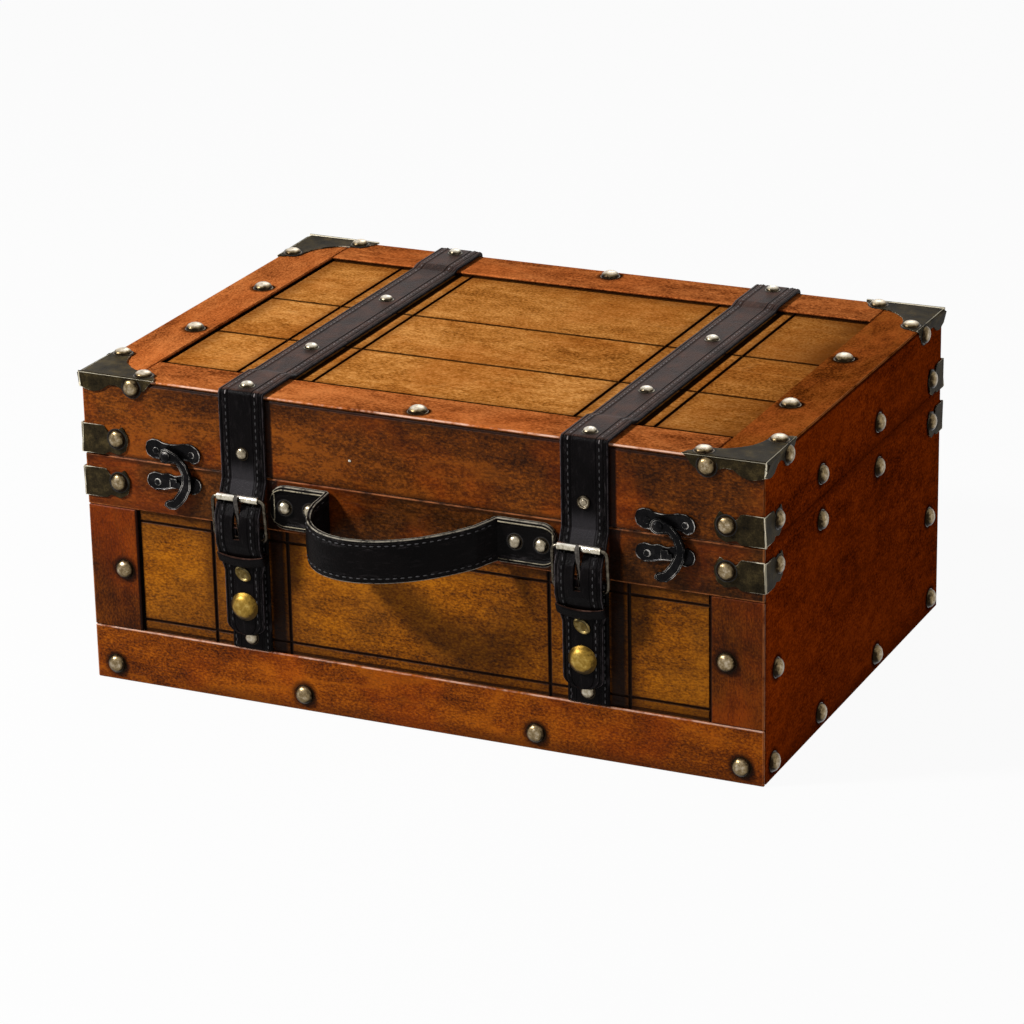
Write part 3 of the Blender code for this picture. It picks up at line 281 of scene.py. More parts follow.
# Relief of each finish
WOOD_RELIEF = 0.00022
COIN_RELIEF = 0.00020
PLATE_RELIEF = 0.00014
HIDE_RELIEF = 0.00026
THREAD_RELIEF = 0.0002

# The dark colour is for burnt grooves and joints and also for painted shadow and shade; the pale and orange
# edge colours are wear and also painted highlight.
BURNT_AND_SHADE = tone(15, 5, 3)
PALE_WEAR_AND_HIGHLIGHT = tone(222, 178, 154)
WORN_ORANGE_AND_HIGHLIGHT = tone(188, 112, 62)
BARE = (tone(150, 104, 62), tone(128, 86, 50), tone(92, 58, 34))


def along_grain(direction, pitch):
    """A noise pitch for boards whose grain runs along one axis."""
    along, across = pitch
    return tuple(along if letter == direction else across for letter in "xyz")


def wood(name, tones, tint, grain, seed, figure, gloss=0.06, depth=1.4, burnt_and_shade=(), stain_and_shade_halos=(), edges=(),
         nails=(), boards=(), inner_front=None, outside=None):
    """Stained and varnished board: figure, fibres and pores, burnt lines, halos and worn edges, some of them
    painted light and shade.

    The burnt lines and the halos hold (axis, place, half width, softness, strength). The burnt lines are dark
    grooves and joints, and also painted shadows beside the straps and painted shade along proud edges. The
    halos darken the wood near rails, grooves, seams and edges, as stain and painted shade. edges hold (axis,
    place, other axis, its place, reach, strength, colour): worn pale, and also painted highlights. nails are
    places with dark polish and painted contact shade round them. boards hold (axis, place) where the grain
    starts anew. depth spreads light and dark apart. Inside the walls, behind inner_front, the wood is bare.
    outside holds (axis, way, least): the burnt marks and the rings round nails show only on faces that look
    that way.
    """
    light, middle, dark = tones
    paint = Finish(name, 0.5, specular_ior_level=gloss)
    place = paint.place()
    axes = {letter: paint.axis(place, letter) for letter in "xyz"}
    shifted = paint.shifted(place, (seed * 1.7, seed * 2.3, seed * 3.1))
    board = 0.0
    for axis, seam in boards:
        board = board + paint.ease(axes[axis], seam - 0.0001, seam + 0.0001)
    if boards:
        jump = paint.node("ShaderNodeCombineXYZ", {}, {0: board * 1.37, 2: board * 0.61})
        shifted = paint.shifted(shifted, jump)

    def pattern(pitch, detail, rough):
        return paint.noise(paint.stretched(shifted, along_grain(grain, pitch)), 1, detail, rough)

    blotch = pattern(BLOTCH, 5, 0.62)
    mottle = pattern(MOTTLE, 3, 0.6)
    fibre = pattern(FIBRE, 3, 0.6)
    speck = pattern(SPECK, 2, 0.65)
    wave = paint.sum("PINGPONG", pattern(FIGURE, 2, 0.45) * FIGURE_LINES + mottle * 0.3, 1.0)
    pores = paint.ease(pattern(PORES, 2, 0.7), 0.60, 0.72)
    warm = paint.ease(paint.noise(paint.shifted(shifted, (3, 5, 7)), 17, 3, 0.6), 0.42, 0.66)

    shade = (0.5 + (blotch - 0.5) * depth + (mottle - 0.5) * (0.25 + depth * 0.45)
             + (speck - 0.5) * SPECKLE * 1.6 + (fibre - 0.5) * STREAK * 1.5 + (wave - 0.5) * (0.16 * figure))
    colour = paint.ramp(shade, [(0.16, dark), (0.50, middle), (0.84, light)])
    colour = paint.mix(warm * 0.42, colour, paint.times(tint, shade * 0.9 + 0.55))
    colour = paint.mix(paint.ease(wave, 0.86, 1.0) * (0.34 * figure), colour, light)
    colour = paint.mix(pores * 0.5, colour, dark)

    relief = fibre * 0.4 + speck * 0.4 - pores * 0.6 + wave * 0.15
    # Halos: darker near rails, grooves, seams and edges, as patchy stain and painted shade.
    for axis, at, half, soft, strength in stain_and_shade_halos:
        near = paint.line(axes[axis], at, half, soft) * paint.ease(blotch + mottle * 0.4, 0.45, 0.85)
        colour = paint.mix(near * strength, colour, dark)
    marks = []
    # Burnt lines: dark grooves and joints, and also painted shadows beside the straps and painted shade along
    # proud edges.
    for axis, at, half, soft, strength in burnt_and_shade:
        wander = at + (fibre - 0.5) * (half * 0.35)
        marks.append(paint.line(axes[axis], wander, half, soft) * strength)
    # Dark polish and painted contact shade round each nail.
    if nails:
        marks.append(paint.most([paint.ring(place, nail, *NAIL_POLISH_AND_SHADE) for nail in nails]) * 0.85)
    if marks:
        mark = paint.most(marks)
        if outside:
            axis, sign, least = outside
            mark = mark * paint.ease(paint.axis(paint.normal(), axis) * sign, least, least + 0.2)
        colour = paint.mix(mark, colour, BURNT_AND_SHADE)
        relief = relief - mark * 1.5
    # Edges worn pale, also standing in as painted highlights along them.
    wear_and_highlight = paint.ease(paint.noise(shifted, 60, 4, 0.75), 0.36, 0.58) if edges else None
    for axis, at, other, other_at, reach, strength, rubbed in edges:
        away = paint.most([paint.apart(axes[axis], at), paint.apart(axes[other], other_at)])
        near = (1 - paint.ease(away + (speck - 0.5) * 0.0008, reach * 0.45, reach)) * wear_and_highlight
        colour = paint.mix(near * strength, colour, rubbed)
    if inner_front is not None:
        inside = paint.most([paint.sum("ABSOLUTE", axes["x"]) - (HALF_WIDTH - WALL),
                             inner_front - axes["y"], axes["y"] - (BACK - WALL)])
        bare = paint.ramp(shade, [(0.2, tone(96, 60, 34)), (0.5, BARE[1]), (0.85, BARE[0])])
        colour = paint.mix(1 - paint.ease(inside, 0.0002, 0.0006), colour, bare)
    rough = 0.44 + (blotch - 0.5) * 0.3 + (speck - 0.5) * 0.2
    paint.set(base_color=colour, roughness=rough, normal=paint.bump(relief, WOOD_RELIEF))


def coin_metal(name, bright, middle, dark, roughness, foot, underside_shade=0.25):
    """Aged stamped metal: patches of tarnish, a dark foot, painted light where it faces up and painted shade
    where it faces down.
    """
    paint = Finish(name, roughness, 1.0)
    place = paint.place()
    share = paint.carried("share", "Fac")
    patch = paint.noise(place, 420, 3, 0.6)
    grit = paint.noise(place, 2600, 2, 0.6)
    # Painted shade where a head faces down, and painted light where it faces up.
    down = paint.ease(paint.axis(paint.normal(), "z") * -1, 0.05, 0.75)
    up = paint.ease(paint.axis(paint.normal(), "z"), 0.35, 0.9)
    shade = patch * 0.6 + grit * 0.25 + 0.08 + up * 0.24 - paint.ease(share, 0.5, 1.0) * foot - down * underside_shade
    colour = paint.ramp(shade, [(0.20, tone(*dark)), (0.48, tone(*middle)), (0.82, tone(*bright))])
    # The skirt: a dark matte ring of old polish and painted contact shade round the nail.
    skirt = paint.ease(share, 1.01, 1.03)
    colour = paint.mix(skirt, colour, tone(14, 10, 7))
    rough = roughness + (patch - 0.5) * 0.35 + skirt * 0.6
    paint.set(base_color=colour, roughness=rough, metallic=1 - skirt,
              normal=paint.bump(patch * 0.6 + grit * 0.2, COIN_RELIEF))


def plate_metal(name, bright, light, middle, dark, roughness, wear, metallic, gloss):
    """Thin pressed or cast plate: blotched tarnish, with edges and ridges rubbed bright in places; the bright
    along a hook's ridge is also a painted highlight.
    """
    paint = Finish(name, roughness, metallic, specular_ior_level=gloss)
    place = paint.place()
    rubbed = paint.carried("rubbed", "Fac")
    patch = paint.noise(place, 130, 4, 0.62)
    grit = paint.noise(place, 1300, 3, 0.6)
    scratch = paint.noise(paint.stretched(place, (300, 300, 1900)), 1, 2, 0.6)
    shade = patch * 0.7 + grit * 0.35
    colour = paint.ramp(shade, [(0.36, tone(*dark)), (0.54, tone(*middle)), (0.78, tone(*light))])
    worn = paint.ease(rubbed + (patch - 0.5) * 1.5 + (grit - 0.5) * 0.5, wear, wear + 0.45)
    worn = worn * paint.ease(rubbed, 0.1, 0.5)
    colour = paint.mix(worn, colour, tone(*bright))
    rough = roughness + (grit - 0.5) * 0.4 - worn * 0.12
    relief = grit * 0.4 + patch * 0.6 + scratch * 0.3
    paint.set(base_color=colour, roughness=rough, normal=paint.bump(relief, PLATE_RELIEF))


def leather(name, light, dark, half, gloss, smooth=(), lines=(), top_sheen=1.0):
    """Polished hide with fine creases and scuffs.

    smooth holds (top, low) heights between which a painted reflection greys the front of the hide. lines hold
    (from the middle, reach, where the tabs end or 0, strength, colour) for polish worn pale. The last
    argument says how much painted sheen greys the hide where it lies flat, facing up.
    """
    paint = Finish(name, 0.34, specular_ior_level=gloss)
    place = paint.place()
    lie = paint.carried("lie")
    across = paint.sum("ABSOLUTE", paint.axis(lie, "x"))
    length = paint.axis(lie, "y")
    cloud = paint.noise(place, 70, 3, 0.6)
    crease = paint.cells(place, 1300)
    fine = paint.noise(place, 2600, 2, 0.6)
    pull = paint.noise(paint.stretched(lie, (1400, 260, 600)), 1, 3, 0.65)
    scuff = paint.ease(paint.noise(paint.stretched(lie, (500, 130, 300)), 1, 4, 0.7), 0.54, 0.68)
    up = paint.ease(paint.axis(paint.normal(), "z"), 0.75, 0.95)
    border = paint.ease(across, half * 0.56, half * 0.66)
    colour = paint.ramp(cloud * 0.7 + fine * 0.3, [(0.3, dark), (0.75, light)])
    # Painted sheen: where the hide lies flat, facing up, it turns lighter and greyer.
    painted_top_sheen = paint.ramp(cloud * 0.6 + fine * 0.25 + scuff * 0.2,
                       [(0.36, tone(36, 22, 17)), (0.70, tone(92, 66, 56))])
    colour = paint.mix(up * top_sheen, colour, painted_top_sheen)
    colour = paint.mix(scuff * (0.08 + border * 0.30), colour, tone(70, 64, 65))
    # Painted reflection: a grey patch on the front between these heights, where the leather curves out to the
    # roller.
    for top, low in smooth:
        height = paint.axis(place, "z")
        patch = paint.ease(height, low, low + 0.002) * (1 - paint.ease(height, top - 0.010, top))
        patch = patch * (1 - paint.ease(across, half * 0.46, half * 0.60))
        patch = patch * paint.ease(FRONT - paint.axis(place, "y"), 0.0, 0.0002)
        colour = paint.mix(patch * 0.38, colour, tone(72, 69, 72))
    arris = paint.ease(paint.sum("ABSOLUTE", paint.axis(lie, "z")), 0.0004, 0.0008)
    for at, reach, tab_end, strength, pale in lines:
        near = (1 - paint.ease(paint.apart(across, at), reach * 0.5, reach)) * arris
        if tab_end:
            near = near * (1 - paint.ease(length, tab_end - 0.0006, tab_end))
            round_end = 1 - paint.ease(paint.apart(length, half - at), reach * 0.5, reach)
            near = paint.most([near, round_end])
        patchy = paint.ease(paint.noise(place, 240, 3, 0.7), 0.30, 0.55)
        colour = paint.mix(near * patchy * strength, colour, pale)
    rough = 0.34 + (cloud - 0.5) * 0.3 + scuff * 0.15
    relief = crease * 0.5 + fine * 0.4 + cloud + pull * (0.4 + border * 1.6)
    paint.set(base_color=colour, roughness=rough, normal=paint.bump(relief, HIDE_RELIEF))


def nail_places(across, level, at=FRONT):
    """Nails in a row on the front or the back."""
    return [(side * value, at, level) for value in across for side in (-1, 1)]


def side_nail_places(side):
    """Every nail on one side of the base."""
    along = [(SIDE_NAILS[0], SIDE_HEIGHTS["low"]), (SIDE_NAILS[1], SIDE_HEIGHTS["low"]),
             (-SIDE_MID_NAIL, SIDE_HEIGHTS["middle"]), (SIDE_MID_NAIL, SIDE_HEIGHTS["middle"])]
    along += [(value, RAIL_NAIL_HEIGHT) for value in (-SIDE_END_NAIL, *SIDE_NAILS, SIDE_END_NAIL)]
    return [(side * HALF_WIDTH, place, height) for place, height in along]


def lid_side_nail_places(side):
    return [(side * HALF_WIDTH, place, SIDE_HEIGHTS["high"]) for place in SIDE_NAILS]


def lid_end_nail_places(end):
    return [(0, end * LID_END_NAIL, LID_TOP)]


def lid_top_nail_places(side):
    return [(side * LID_SIDE_NAIL, place, LID_TOP) for place in LID_SIDE_NAILS]


FRONT_RAIL_SPOTS = nail_places(RAIL_NAILS, RAIL_NAIL_HEIGHT)
STILE_SPOTS = nail_places(STILE_NAILS, STILE_NAIL_HEIGHT)
BACK_SPOTS = nail_places(RAIL_NAILS, RAIL_NAIL_HEIGHT, BACK)

GOLD = (tone(172, 102, 14), tone(126, 68, 7), tone(58, 27, 3))
OCHRE = (tone(218, 154, 84), tone(178, 112, 46), tone(100, 52, 14))
ORANGE = (tone(204, 122, 64), tone(164, 90, 42), tone(92, 42, 16))
# A darker copy of the orange: painted shade for the rail on the side away from the light.
ORANGE_IN_PAINTED_SHADE = (tone(152, 84, 32), tone(120, 60, 18), tone(62, 26, 6))
BROWN = (tone(130, 68, 16), tone(84, 41, 8), tone(38, 16, 3))
RAIL_BROWN = (tone(108, 58, 18), tone(68, 35, 8), tone(31, 14, 3))
CHESTNUT = (tone(166, 88, 12), tone(118, 55, 5), tone(54, 20, 2))
MAROON = (tone(102, 50, 6), tone(68, 29, 3), tone(34, 12, 1))
RED = (tone(164, 66, 12), tone(124, 44, 5), tone(66, 20, 3))
RED_TINT = tone(138, 52, 4)
OLIVE_TINT = tone(110, 66, 18)
OCHRE_TINT = tone(160, 84, 24)
ORANGE_TINT = tone(176, 88, 36)
BARE_TINT = tone(120, 76, 40)

UPRIGHTS = [sign * (STRAP_OFFSET + shift) for sign in (-1, 1) for shift in (-BESIDE_STRAP, BESIDE_STRAP)]
# Corner edges worn orange, also standing in as a painted highlight.
CORNER_EDGES = [("x", side * HALF_WIDTH, "y", FRONT, 0.0012, 0.5, WORN_ORANGE_AND_HIGHLIGHT) for side in (-1, 1)]
WALL_AND_TRIM = FRONT + WALL + 0.0018


def beside(shift):
    """Places just right of each strap, where a painted shadow runs down the wood."""
    return [sign * STRAP_OFFSET + 0.0130 + shift for sign in (-1, 1)]


def same(axis, places, half, soft, strength):
    """The same burnt line or halo at several places."""
    return [(axis, at, half, soft, strength) for at in places]


wood("front_panel_wood", GOLD, OLIVE_TINT, "x", 1.3, 0.3, depth=1.1, outside=("y", -1, -0.5),
     burnt_and_shade=same("x", UPRIGHTS, 0.0008, 0.0005, 0.96)
     # The stile edges: grooves, darkened further by painted shade where the stiles stand proud.
     + same("x", (0.0004 - STILE_EDGE, STILE_EDGE - 0.0004), 0.0008, 0.0005, 1.0)
     # Painted shadow right of each strap.
     + same("x", beside(0.0024), 0.0028, 0.0028, 0.95)
     + same("z", (BOTTOM_RAIL_TOP + 0.0008,), 0.0006, 0.0005, 0.8)
     + same("z", PANEL_LINES, 0.0006, 0.0004, 0.9),
     # Halos along the proud rails and the grooves: stain and painted shade.
     stain_and_shade_halos=[("z", BOTTOM_RAIL_TOP, 0.002, 0.012, 0.7), ("z", PANEL_TOP, 0.002, 0.014, 0.8)]
     + same("x", UPRIGHTS, 0.001, 0.008, 0.6),
     inner_front=WALL_AND_TRIM)
wood("front_top_rail_wood", RAIL_BROWN, RED_TINT, "x", 4.1, 0.8, outside=("y", -1, 0.2),
     # Painted shadow right of each strap.
     burnt_and_shade=same("x", beside(0.0022), 0.0024, 0.0020, 0.92),
     stain_and_shade_halos=[("z", PANEL_TOP, 0.001, 0.006, 0.5), ("z", SEAM, 0.0008, 0.003, 0.9)],
     edges=[("y", FRONT, "z", PANEL_TOP, 0.0010, 0.7, WORN_ORANGE_AND_HIGHLIGHT),
            ("y", FRONT, "z", SEAM, 0.0009, 0.45, WORN_ORANGE_AND_HIGHLIGHT), *CORNER_EDGES])
wood("front_bottom_rail_wood", CHESTNUT, RED_TINT, "x", 7.7, 1.1, depth=1.1,
     stain_and_shade_halos=[("z", 0.0, 0.001, 0.008, 0.7)],
     edges=[("y", FRONT, "z", BOTTOM_RAIL_TOP, 0.0009, 0.6, PALE_WEAR_AND_HIGHLIGHT), *CORNER_EDGES],
     nails=FRONT_RAIL_SPOTS)
wood("front_stile_wood", MAROON, RED_TINT, "z", 9.2, 0.6,
     burnt_and_shade=same("x", (-STILE_EDGE, STILE_EDGE), 0.0006, 0.0006, 0.9),
     edges=CORNER_EDGES, nails=STILE_SPOTS)
wood("lid_front_wood", BROWN, RED_TINT, "x", 12.6, 1.2, depth=1.15, outside=("y", -1, 0.2),
     # Painted shadow right of each strap.
     burnt_and_shade=same("x", beside(0.0010), 0.0016, 0.0014, 0.92) + [("z", LID_TOP - 0.0024, 0.0004, 0.0006, 0.8)],
     stain_and_shade_halos=[("z", LID_TOP, 0.001, 0.010, 0.6), ("z", SEAM, 0.0006, 0.003, 0.8)],
     edges=[("y", FRONT, "z", SEAM, 0.0008, 0.35, PALE_WEAR_AND_HIGHLIGHT), *CORNER_EDGES], inner_front=FRONT + WALL)
for side_name, side in SIDES:
    wood(side_name + "_side_wood", RED, RED_TINT, "y", 15.4 + side, 0.4, gloss=0.0, depth=0.8,
         stain_and_shade_halos=[("z", SEAM, 0.001, 0.005, 0.8), ("z", 0.0, 0.001, 0.010, 0.6)],
         burnt_and_shade=[("z", LID_TOP - 0.0021, 0.0002, 0.0003, 0.5)], edges=CORNER_EDGES,
         nails=side_nail_places(side) + lid_side_nail_places(side), inner_front=WALL_AND_TRIM)
wood("back_wood", RED, RED_TINT, "x", 21.3, 0.6, gloss=0.04,
     stain_and_shade_halos=[("z", SEAM, 0.001, 0.005, 0.8), ("z", 0.0, 0.001, 0.008, 0.6)],
     nails=BACK_SPOTS, inner_front=FRONT + WALL)
wood("lid_plank_wood", OCHRE, OCHRE_TINT, "x", 25.8, 0.45, gloss=0.0, depth=0.75, outside=("z", 1, -0.5),
     boards=[("y", seam) for seam in PLANK_SEAMS],
     burnt_and_shade=same("x", UPRIGHTS, 0.0008, 0.0005, 0.96) + same("y", PLANK_SEAMS, 0.0010, 0.0006, 0.85)
     # Painted shadow right of each strap.
     + same("x", beside(0.0012), 0.0014, 0.0012, 0.95)
     # Near the rails' inner edges: grooves, darkened further by painted shade where the planks lie below the
     # rails.
     + [("x", -LID_RAIL_EDGE, 0.0012, 0.0008, 1.0), ("y", LID_END_EDGE, 0.0016, 0.0008, 0.9),
        ("y", 0.0050 - LID_END_EDGE, 0.0013, 0.0006, 0.9), ("x", LID_RAIL_EDGE, 0.0006, 0.0006, 0.7)],
     # Halos along the rails round the planks: stain and painted shade.
     stain_and_shade_halos=[("x", -LID_RAIL_EDGE, 0.002, 0.012, 0.7), ("x", LID_RAIL_EDGE, 0.002, 0.016, 0.8)]
     + same("y", (LID_END_EDGE, -LID_END_EDGE), 0.002, 0.012, 0.7) + same("x", UPRIGHTS, 0.001, 0.006, 0.5)
     # Painted shade: the planks grow darker towards the right rail, where the light falls off.
     + [("x", LID_RAIL_EDGE, 0.010, 0.050, 0.55)])
# The right rail takes the darker copy of the orange as painted shade.
for face, way, seed, tones in (("front", -1, 31.2, ORANGE), ("back", 1, 34.9, ORANGE),
                               ("left", -1, 38.1, ORANGE), ("right", 1, 42.7, ORANGE_IN_PAINTED_SHADE)):
    if face in ("front", "back"):
        grain, spots = "x", lid_end_nail_places(way)
        wear_and_highlight = ("y", way * BACK, "z", LID_TOP, 0.0010, 0.95, PALE_WEAR_AND_HIGHLIGHT)
    else:
        grain, spots = "y", lid_top_nail_places(way)
        wear_and_highlight = ("x", way * HALF_WIDTH, "z", LID_TOP, 0.0010, 0.6, WORN_ORANGE_AND_HIGHLIGHT)
    wood("lid_" + face + "_rail_wood", tones, ORANGE_TINT, grain, seed, 0.8, gloss=0.0, depth=1.0,
         burnt_and_shade=[("z", LID_TOP - 0.0020, 0.0009, 0.0004, 0.75)], edges=[wear_and_highlight], nails=spots)
wood("inside_wood", BARE, BARE_TINT, "x", 47.5, 0.8, gloss=0.04)

# Stamped and drawn metals: bright, middle and dark colour, roughness, dark foot and painted shade underneath
for metal in (("nail_metal", (226, 212, 190), (124, 106, 76), (30, 22, 13), 0.30, 0.42),
              ("strap_nail_metal", (232, 224, 208), (150, 138, 116), (40, 33, 24), 0.27, 0.40),
              ("buckle_silver", (248, 244, 236), (206, 198, 180), (110, 98, 70), 0.18, 0.1, 0.15),
              ("tongue_steel", (128, 122, 114), (70, 66, 62), (28, 26, 24), 0.30, 0.1),
              ("stud_brass", (206, 178, 104), (140, 110, 46), (66, 48, 18), 0.44, 0.34),
              ("eyelet_metal", (150, 134, 92), (84, 68, 34), (32, 25, 13), 0.42, 0.0),
              ("buckle_wire_metal", (140, 132, 116), (62, 56, 47), (24, 21, 17), 0.30, 0.0)):
    coin_metal(*metal)

# Pressed and cast plates: four colours from bright to dark, roughness, wear, metallic and gloss
plate_metal("corner_metal", (214, 204, 180), (84, 71, 43), (42, 35, 21), (15, 12, 7), 0.50, 0.80, 0.0, 0.03)
plate_metal("latch_metal", (214, 208, 200), (40, 38, 37), (15, 14, 15), (5, 5, 6), 0.30, 0.84, 0.6, 0.10)
plate_metal("hinge_metal", (160, 146, 112), (112, 98, 72), (84, 73, 52), (40, 34, 24), 0.40, 0.7, 0.8, 0.14)

# The strap has a painted reflection on its front above the roller and a painted sheen on top.
leather("strap_leather", tone(15, 12, 13), tone(4, 3, 3), 0.013, 0.03,
        smooth=[(SEAM + 0.0100, SEAM - 0.0100)], lines=[(0.0128, 0.0005, 0, 0.6, tone(112, 104, 108))])
leather("handle_leather", tone(13, 10, 10), tone(4, 3, 3), 0.0118, 0.035, top_sheen=0.0,
        lines=[(0.01165, 0.0005, 0, 0.75, tone(164, 156, 140)),
               (0.0099, 0.0004, 0.0322, 0.75, tone(184, 172, 146))])


def plain_thread():
    """Waxed thread: twisted strands, dark, and lighter where it lies on top of the lid."""
    paint = Finish("thread", 0.6)
    place = paint.place()
    dirt = paint.noise(place, 260, 3, 0.6)
    twist = paint.noise(place, 3800, 2, 0.5)
    on_lid = paint.ease(paint.axis(place, "z"), LID_TOP - 0.0010, LID_TOP)
    colour = paint.ramp(dirt * 0.7 + twist * 0.3, [(0.40, tone(14, 12, 13)), (0.80, tone(52, 48, 50))])
    top_colour = paint.ramp(dirt, [(0.3, tone(74, 64, 62)), (0.7, tone(156, 146, 144))])
    colour = paint.mix(on_lid * 0.8, colour, top_colour)
    paint.set(base_color=colour, normal=paint.bump(twist, THREAD_RELIEF))


plain_thread()

NODE_PAINTS = {
    "front_panel_wood": ("base_front_wall",),
    "front_top_rail_wood": ("base_front_top_rail",),
    "front_bottom_rail_wood": ("base_front_bottom_rail",),
    "front_stile_wood": ("base_front_stile_left", "base_front_stile_right"),
    "left_side_wood": ("base_left_wall", "lid_left_wall"),
    "right_side_wood": ("base_right_wall", "lid_right_wall"),
    "back_wood": ("base_back_wall", "lid_back_wall"),
    "inside_wood": ("base_floor",),
    "lid_front_wood": ("lid_front_wall",),
    "lid_plank_wood": ("lid_panel",),
    "hinge_metal": ["hinge_" + part + side_name for part in ("base_leaf_", "lid_leaf_", "pin_")
                    for side_name, side in SIDES],
}
for face in ("front", "back", "left", "right"):
    NODE_PAINTS["lid_" + face + "_rail_wood"] = ("lid_top_rail_" + face,)
for paint_name, node_names in NODE_PAINTS.items():
    for node_name in node_names:
        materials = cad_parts[node_name].data.materials
        materials.clear()
        materials.append(paints[paint_name])


# How a piece that is made lying flat, +Z towards the viewer, stands on each face of the trunk
FACES = {
    "top": Matrix.Identity(4),
    "front": Matrix.Rotation(math.radians(90), 4, "X"),
    "right": Matrix(((0, 0, 1, 0), (1, 0, 0, 0), (0, 1, 0, 0), (0, 0, 0, 1))),
}
HALF_TURN = Matrix.Rotation(math.radians(180), 4, "Z")
FACES["back"] = HALF_TURN @ FACES["front"]
FACES["left"] = HALF_TURN @ FACES["right"]
QUARTER_TURN = Matrix.Rotation(math.radians(90), 4, "Y")
SHARP = math.radians(38)
WELD = 0.000002


def on(face, place):
    """The matrix that stands a flat piece on a face with its origin at a place."""
    return Matrix.Translation(place) @ FACES[face]


def placed(name, data):
    """An object of the scene around a mesh, a lamp or the camera."""
    made = bpy.data.objects.new(name, data)
    bpy.context.scene.collection.objects.link(made)
    return made


def piece(name, bm, paint, body, stands_for=(), recalculated=True):
    """Write a mesh as a finished piece of the trunk that moves with a body."""
    bmesh.ops.remove_doubles(bm, verts=bm.verts, dist=WELD)
    if recalculated:
        bmesh.ops.recalc_face_normals(bm, faces=bm.faces)
    mesh = bpy.data.meshes.new(name)
    bm.to_mesh(mesh)
    bm.free()
    mesh.materials.append(paints[paint])
    mesh.shade_smooth()
    mesh.set_sharp_from_angle(angle=SHARP)
    made = placed(name, mesh)
    if body is not None:
        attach(made, body)
    if stands_for:
        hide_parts(*stands_for)
    return made


def new_mesh(layer):
    """An empty bmesh whose points carry the named value."""
    bm = bmesh.new()
    bm.verts.layers.float.new(layer)
    return bm


def mark(parts, layer, value):
    """Write a value on every point of some faces or edges."""
    for part in parts:
        for vert in part.verts:
            vert[layer] = value


def turned(bm, profile, matrix, steps=20, layer="share", size=None):
    """Spin a profile of (radius, height) corners round its own axis and stand it in place.

    The layer tells how far out each point is, as a share of the size or of the widest corner.
    """
    before = set(bm.verts)
    corners = [bm.verts.new((radius, 0, height)) for radius, height in profile]
    edges = [bm.edges.new(pair) for pair in zip(corners, corners[1:])]
    bmesh.ops.spin(bm, geom=corners + edges, cent=(0, 0, 0), axis=(0, 0, 1), angle=math.tau,
                   steps=steps, use_merge=True)
    made = [vert for vert in bm.verts if vert not in before]
    widest = size or max(radius for radius, height in profile)
    share = bm.verts.layers.float[layer]
    for vert in made:
        vert[share] = vert.co.xy.length / widest
    bmesh.ops.remove_doubles(bm, verts=made, dist=WELD)
    made = [vert for vert in bm.verts if vert not in before]
    bmesh.ops.transform(bm, matrix=matrix, verts=made)


def turned_piece(name, profile, matrix, steps, paint, body, stands_for=()):
    """A piece that is all turned round its own axis."""
    bm = new_mesh("share")
    turned(bm, profile, matrix, steps)
    piece(name, bm, paint, body, stands_for)


def dome_profile(radius, rise, brim=0.0004, steps=7, skirt=0.0):
    """A nail's head: a thin brim, then a dome. A skirt is the dark ring round it: old polish and painted
    contact shade.
    """
    inner = radius - brim
    points = [(radius * 0.96, -0.0004), (radius, 0), (radius, brim * 0.5), (inner, brim * 0.75)]
    if skirt:
        points = [(radius * (1 + skirt), -0.0002), (radius * (1 + skirt * 0.9), 0.00006), *points[1:]]
    for step in range(1, steps):
        angle = math.radians(90) * step / (steps - 1)
        points.append((inner * math.cos(angle), brim * 0.75 + (rise - brim * 0.75) * math.sin(angle)))
    points[-1] = (0, rise)
    return points


def domes(name, spots, radius, rise, paint, body, steps=20, skirt=0.0):
    """A group of nail heads on one body."""
    bm = new_mesh("share")
    for face, place in spots:
        turned(bm, dome_profile(radius, rise, skirt=skirt), on(face, place), steps, size=radius)
    piece(name, bm, paint, body)


base_spots = [("front", place) for place in FRONT_RAIL_SPOTS + STILE_SPOTS]
base_spots += [("back", place) for place in BACK_SPOTS]
lid_spots = [("top", place) for end in (-1, 1) for place in lid_end_nail_places(end)]
for side_name, side in SIDES:
    base_spots += [(side_name, place) for place in side_nail_places(side)]
    lid_spots += [(side_name, place) for place in lid_side_nail_places(side)]
    lid_spots += [("top", place) for place in lid_top_nail_places(side)]
domes("base_nails", base_spots, NAIL_RADIUS, NAIL_RISE, "nail_metal", "base")
domes("lid_nails", lid_spots, NAIL_RADIUS, NAIL_RISE, "nail_metal", "lid")

# Corner metal
METAL = 0.0005
METAL_OUT = FIT_GAP + METAL
BAND_HEIGHT = 0.0160
BAND_ARM = 0.0270
BAND_SIDE_ARM = 0.0235
BAND_LOW = SEAM - 0.0231
LID_BAND_LOW = SEAM + 0.0008
BAND_NAIL = 0.0197
BAND_SIDE_NAIL = 0.0170
BAND_NAIL_SHARE = 0.58
CAP_ARM = 0.0440
CAP_SIDE_ARM = 0.0425
CAP_DROP = 0.0098
CAP_NAIL = 0.0300
CAP_SIDE_NAIL = 0.0300
CAP_NAIL_DROP = 0.0046
CAP_TOP_NAIL = 0.0340
CAP_TOP_NAIL_INSET = 0.0056
CORNER_NAIL_RADIUS = NAIL_RADIUS - 0.0003
CORNER_NAIL_RISE = NAIL_RISE * 0.82
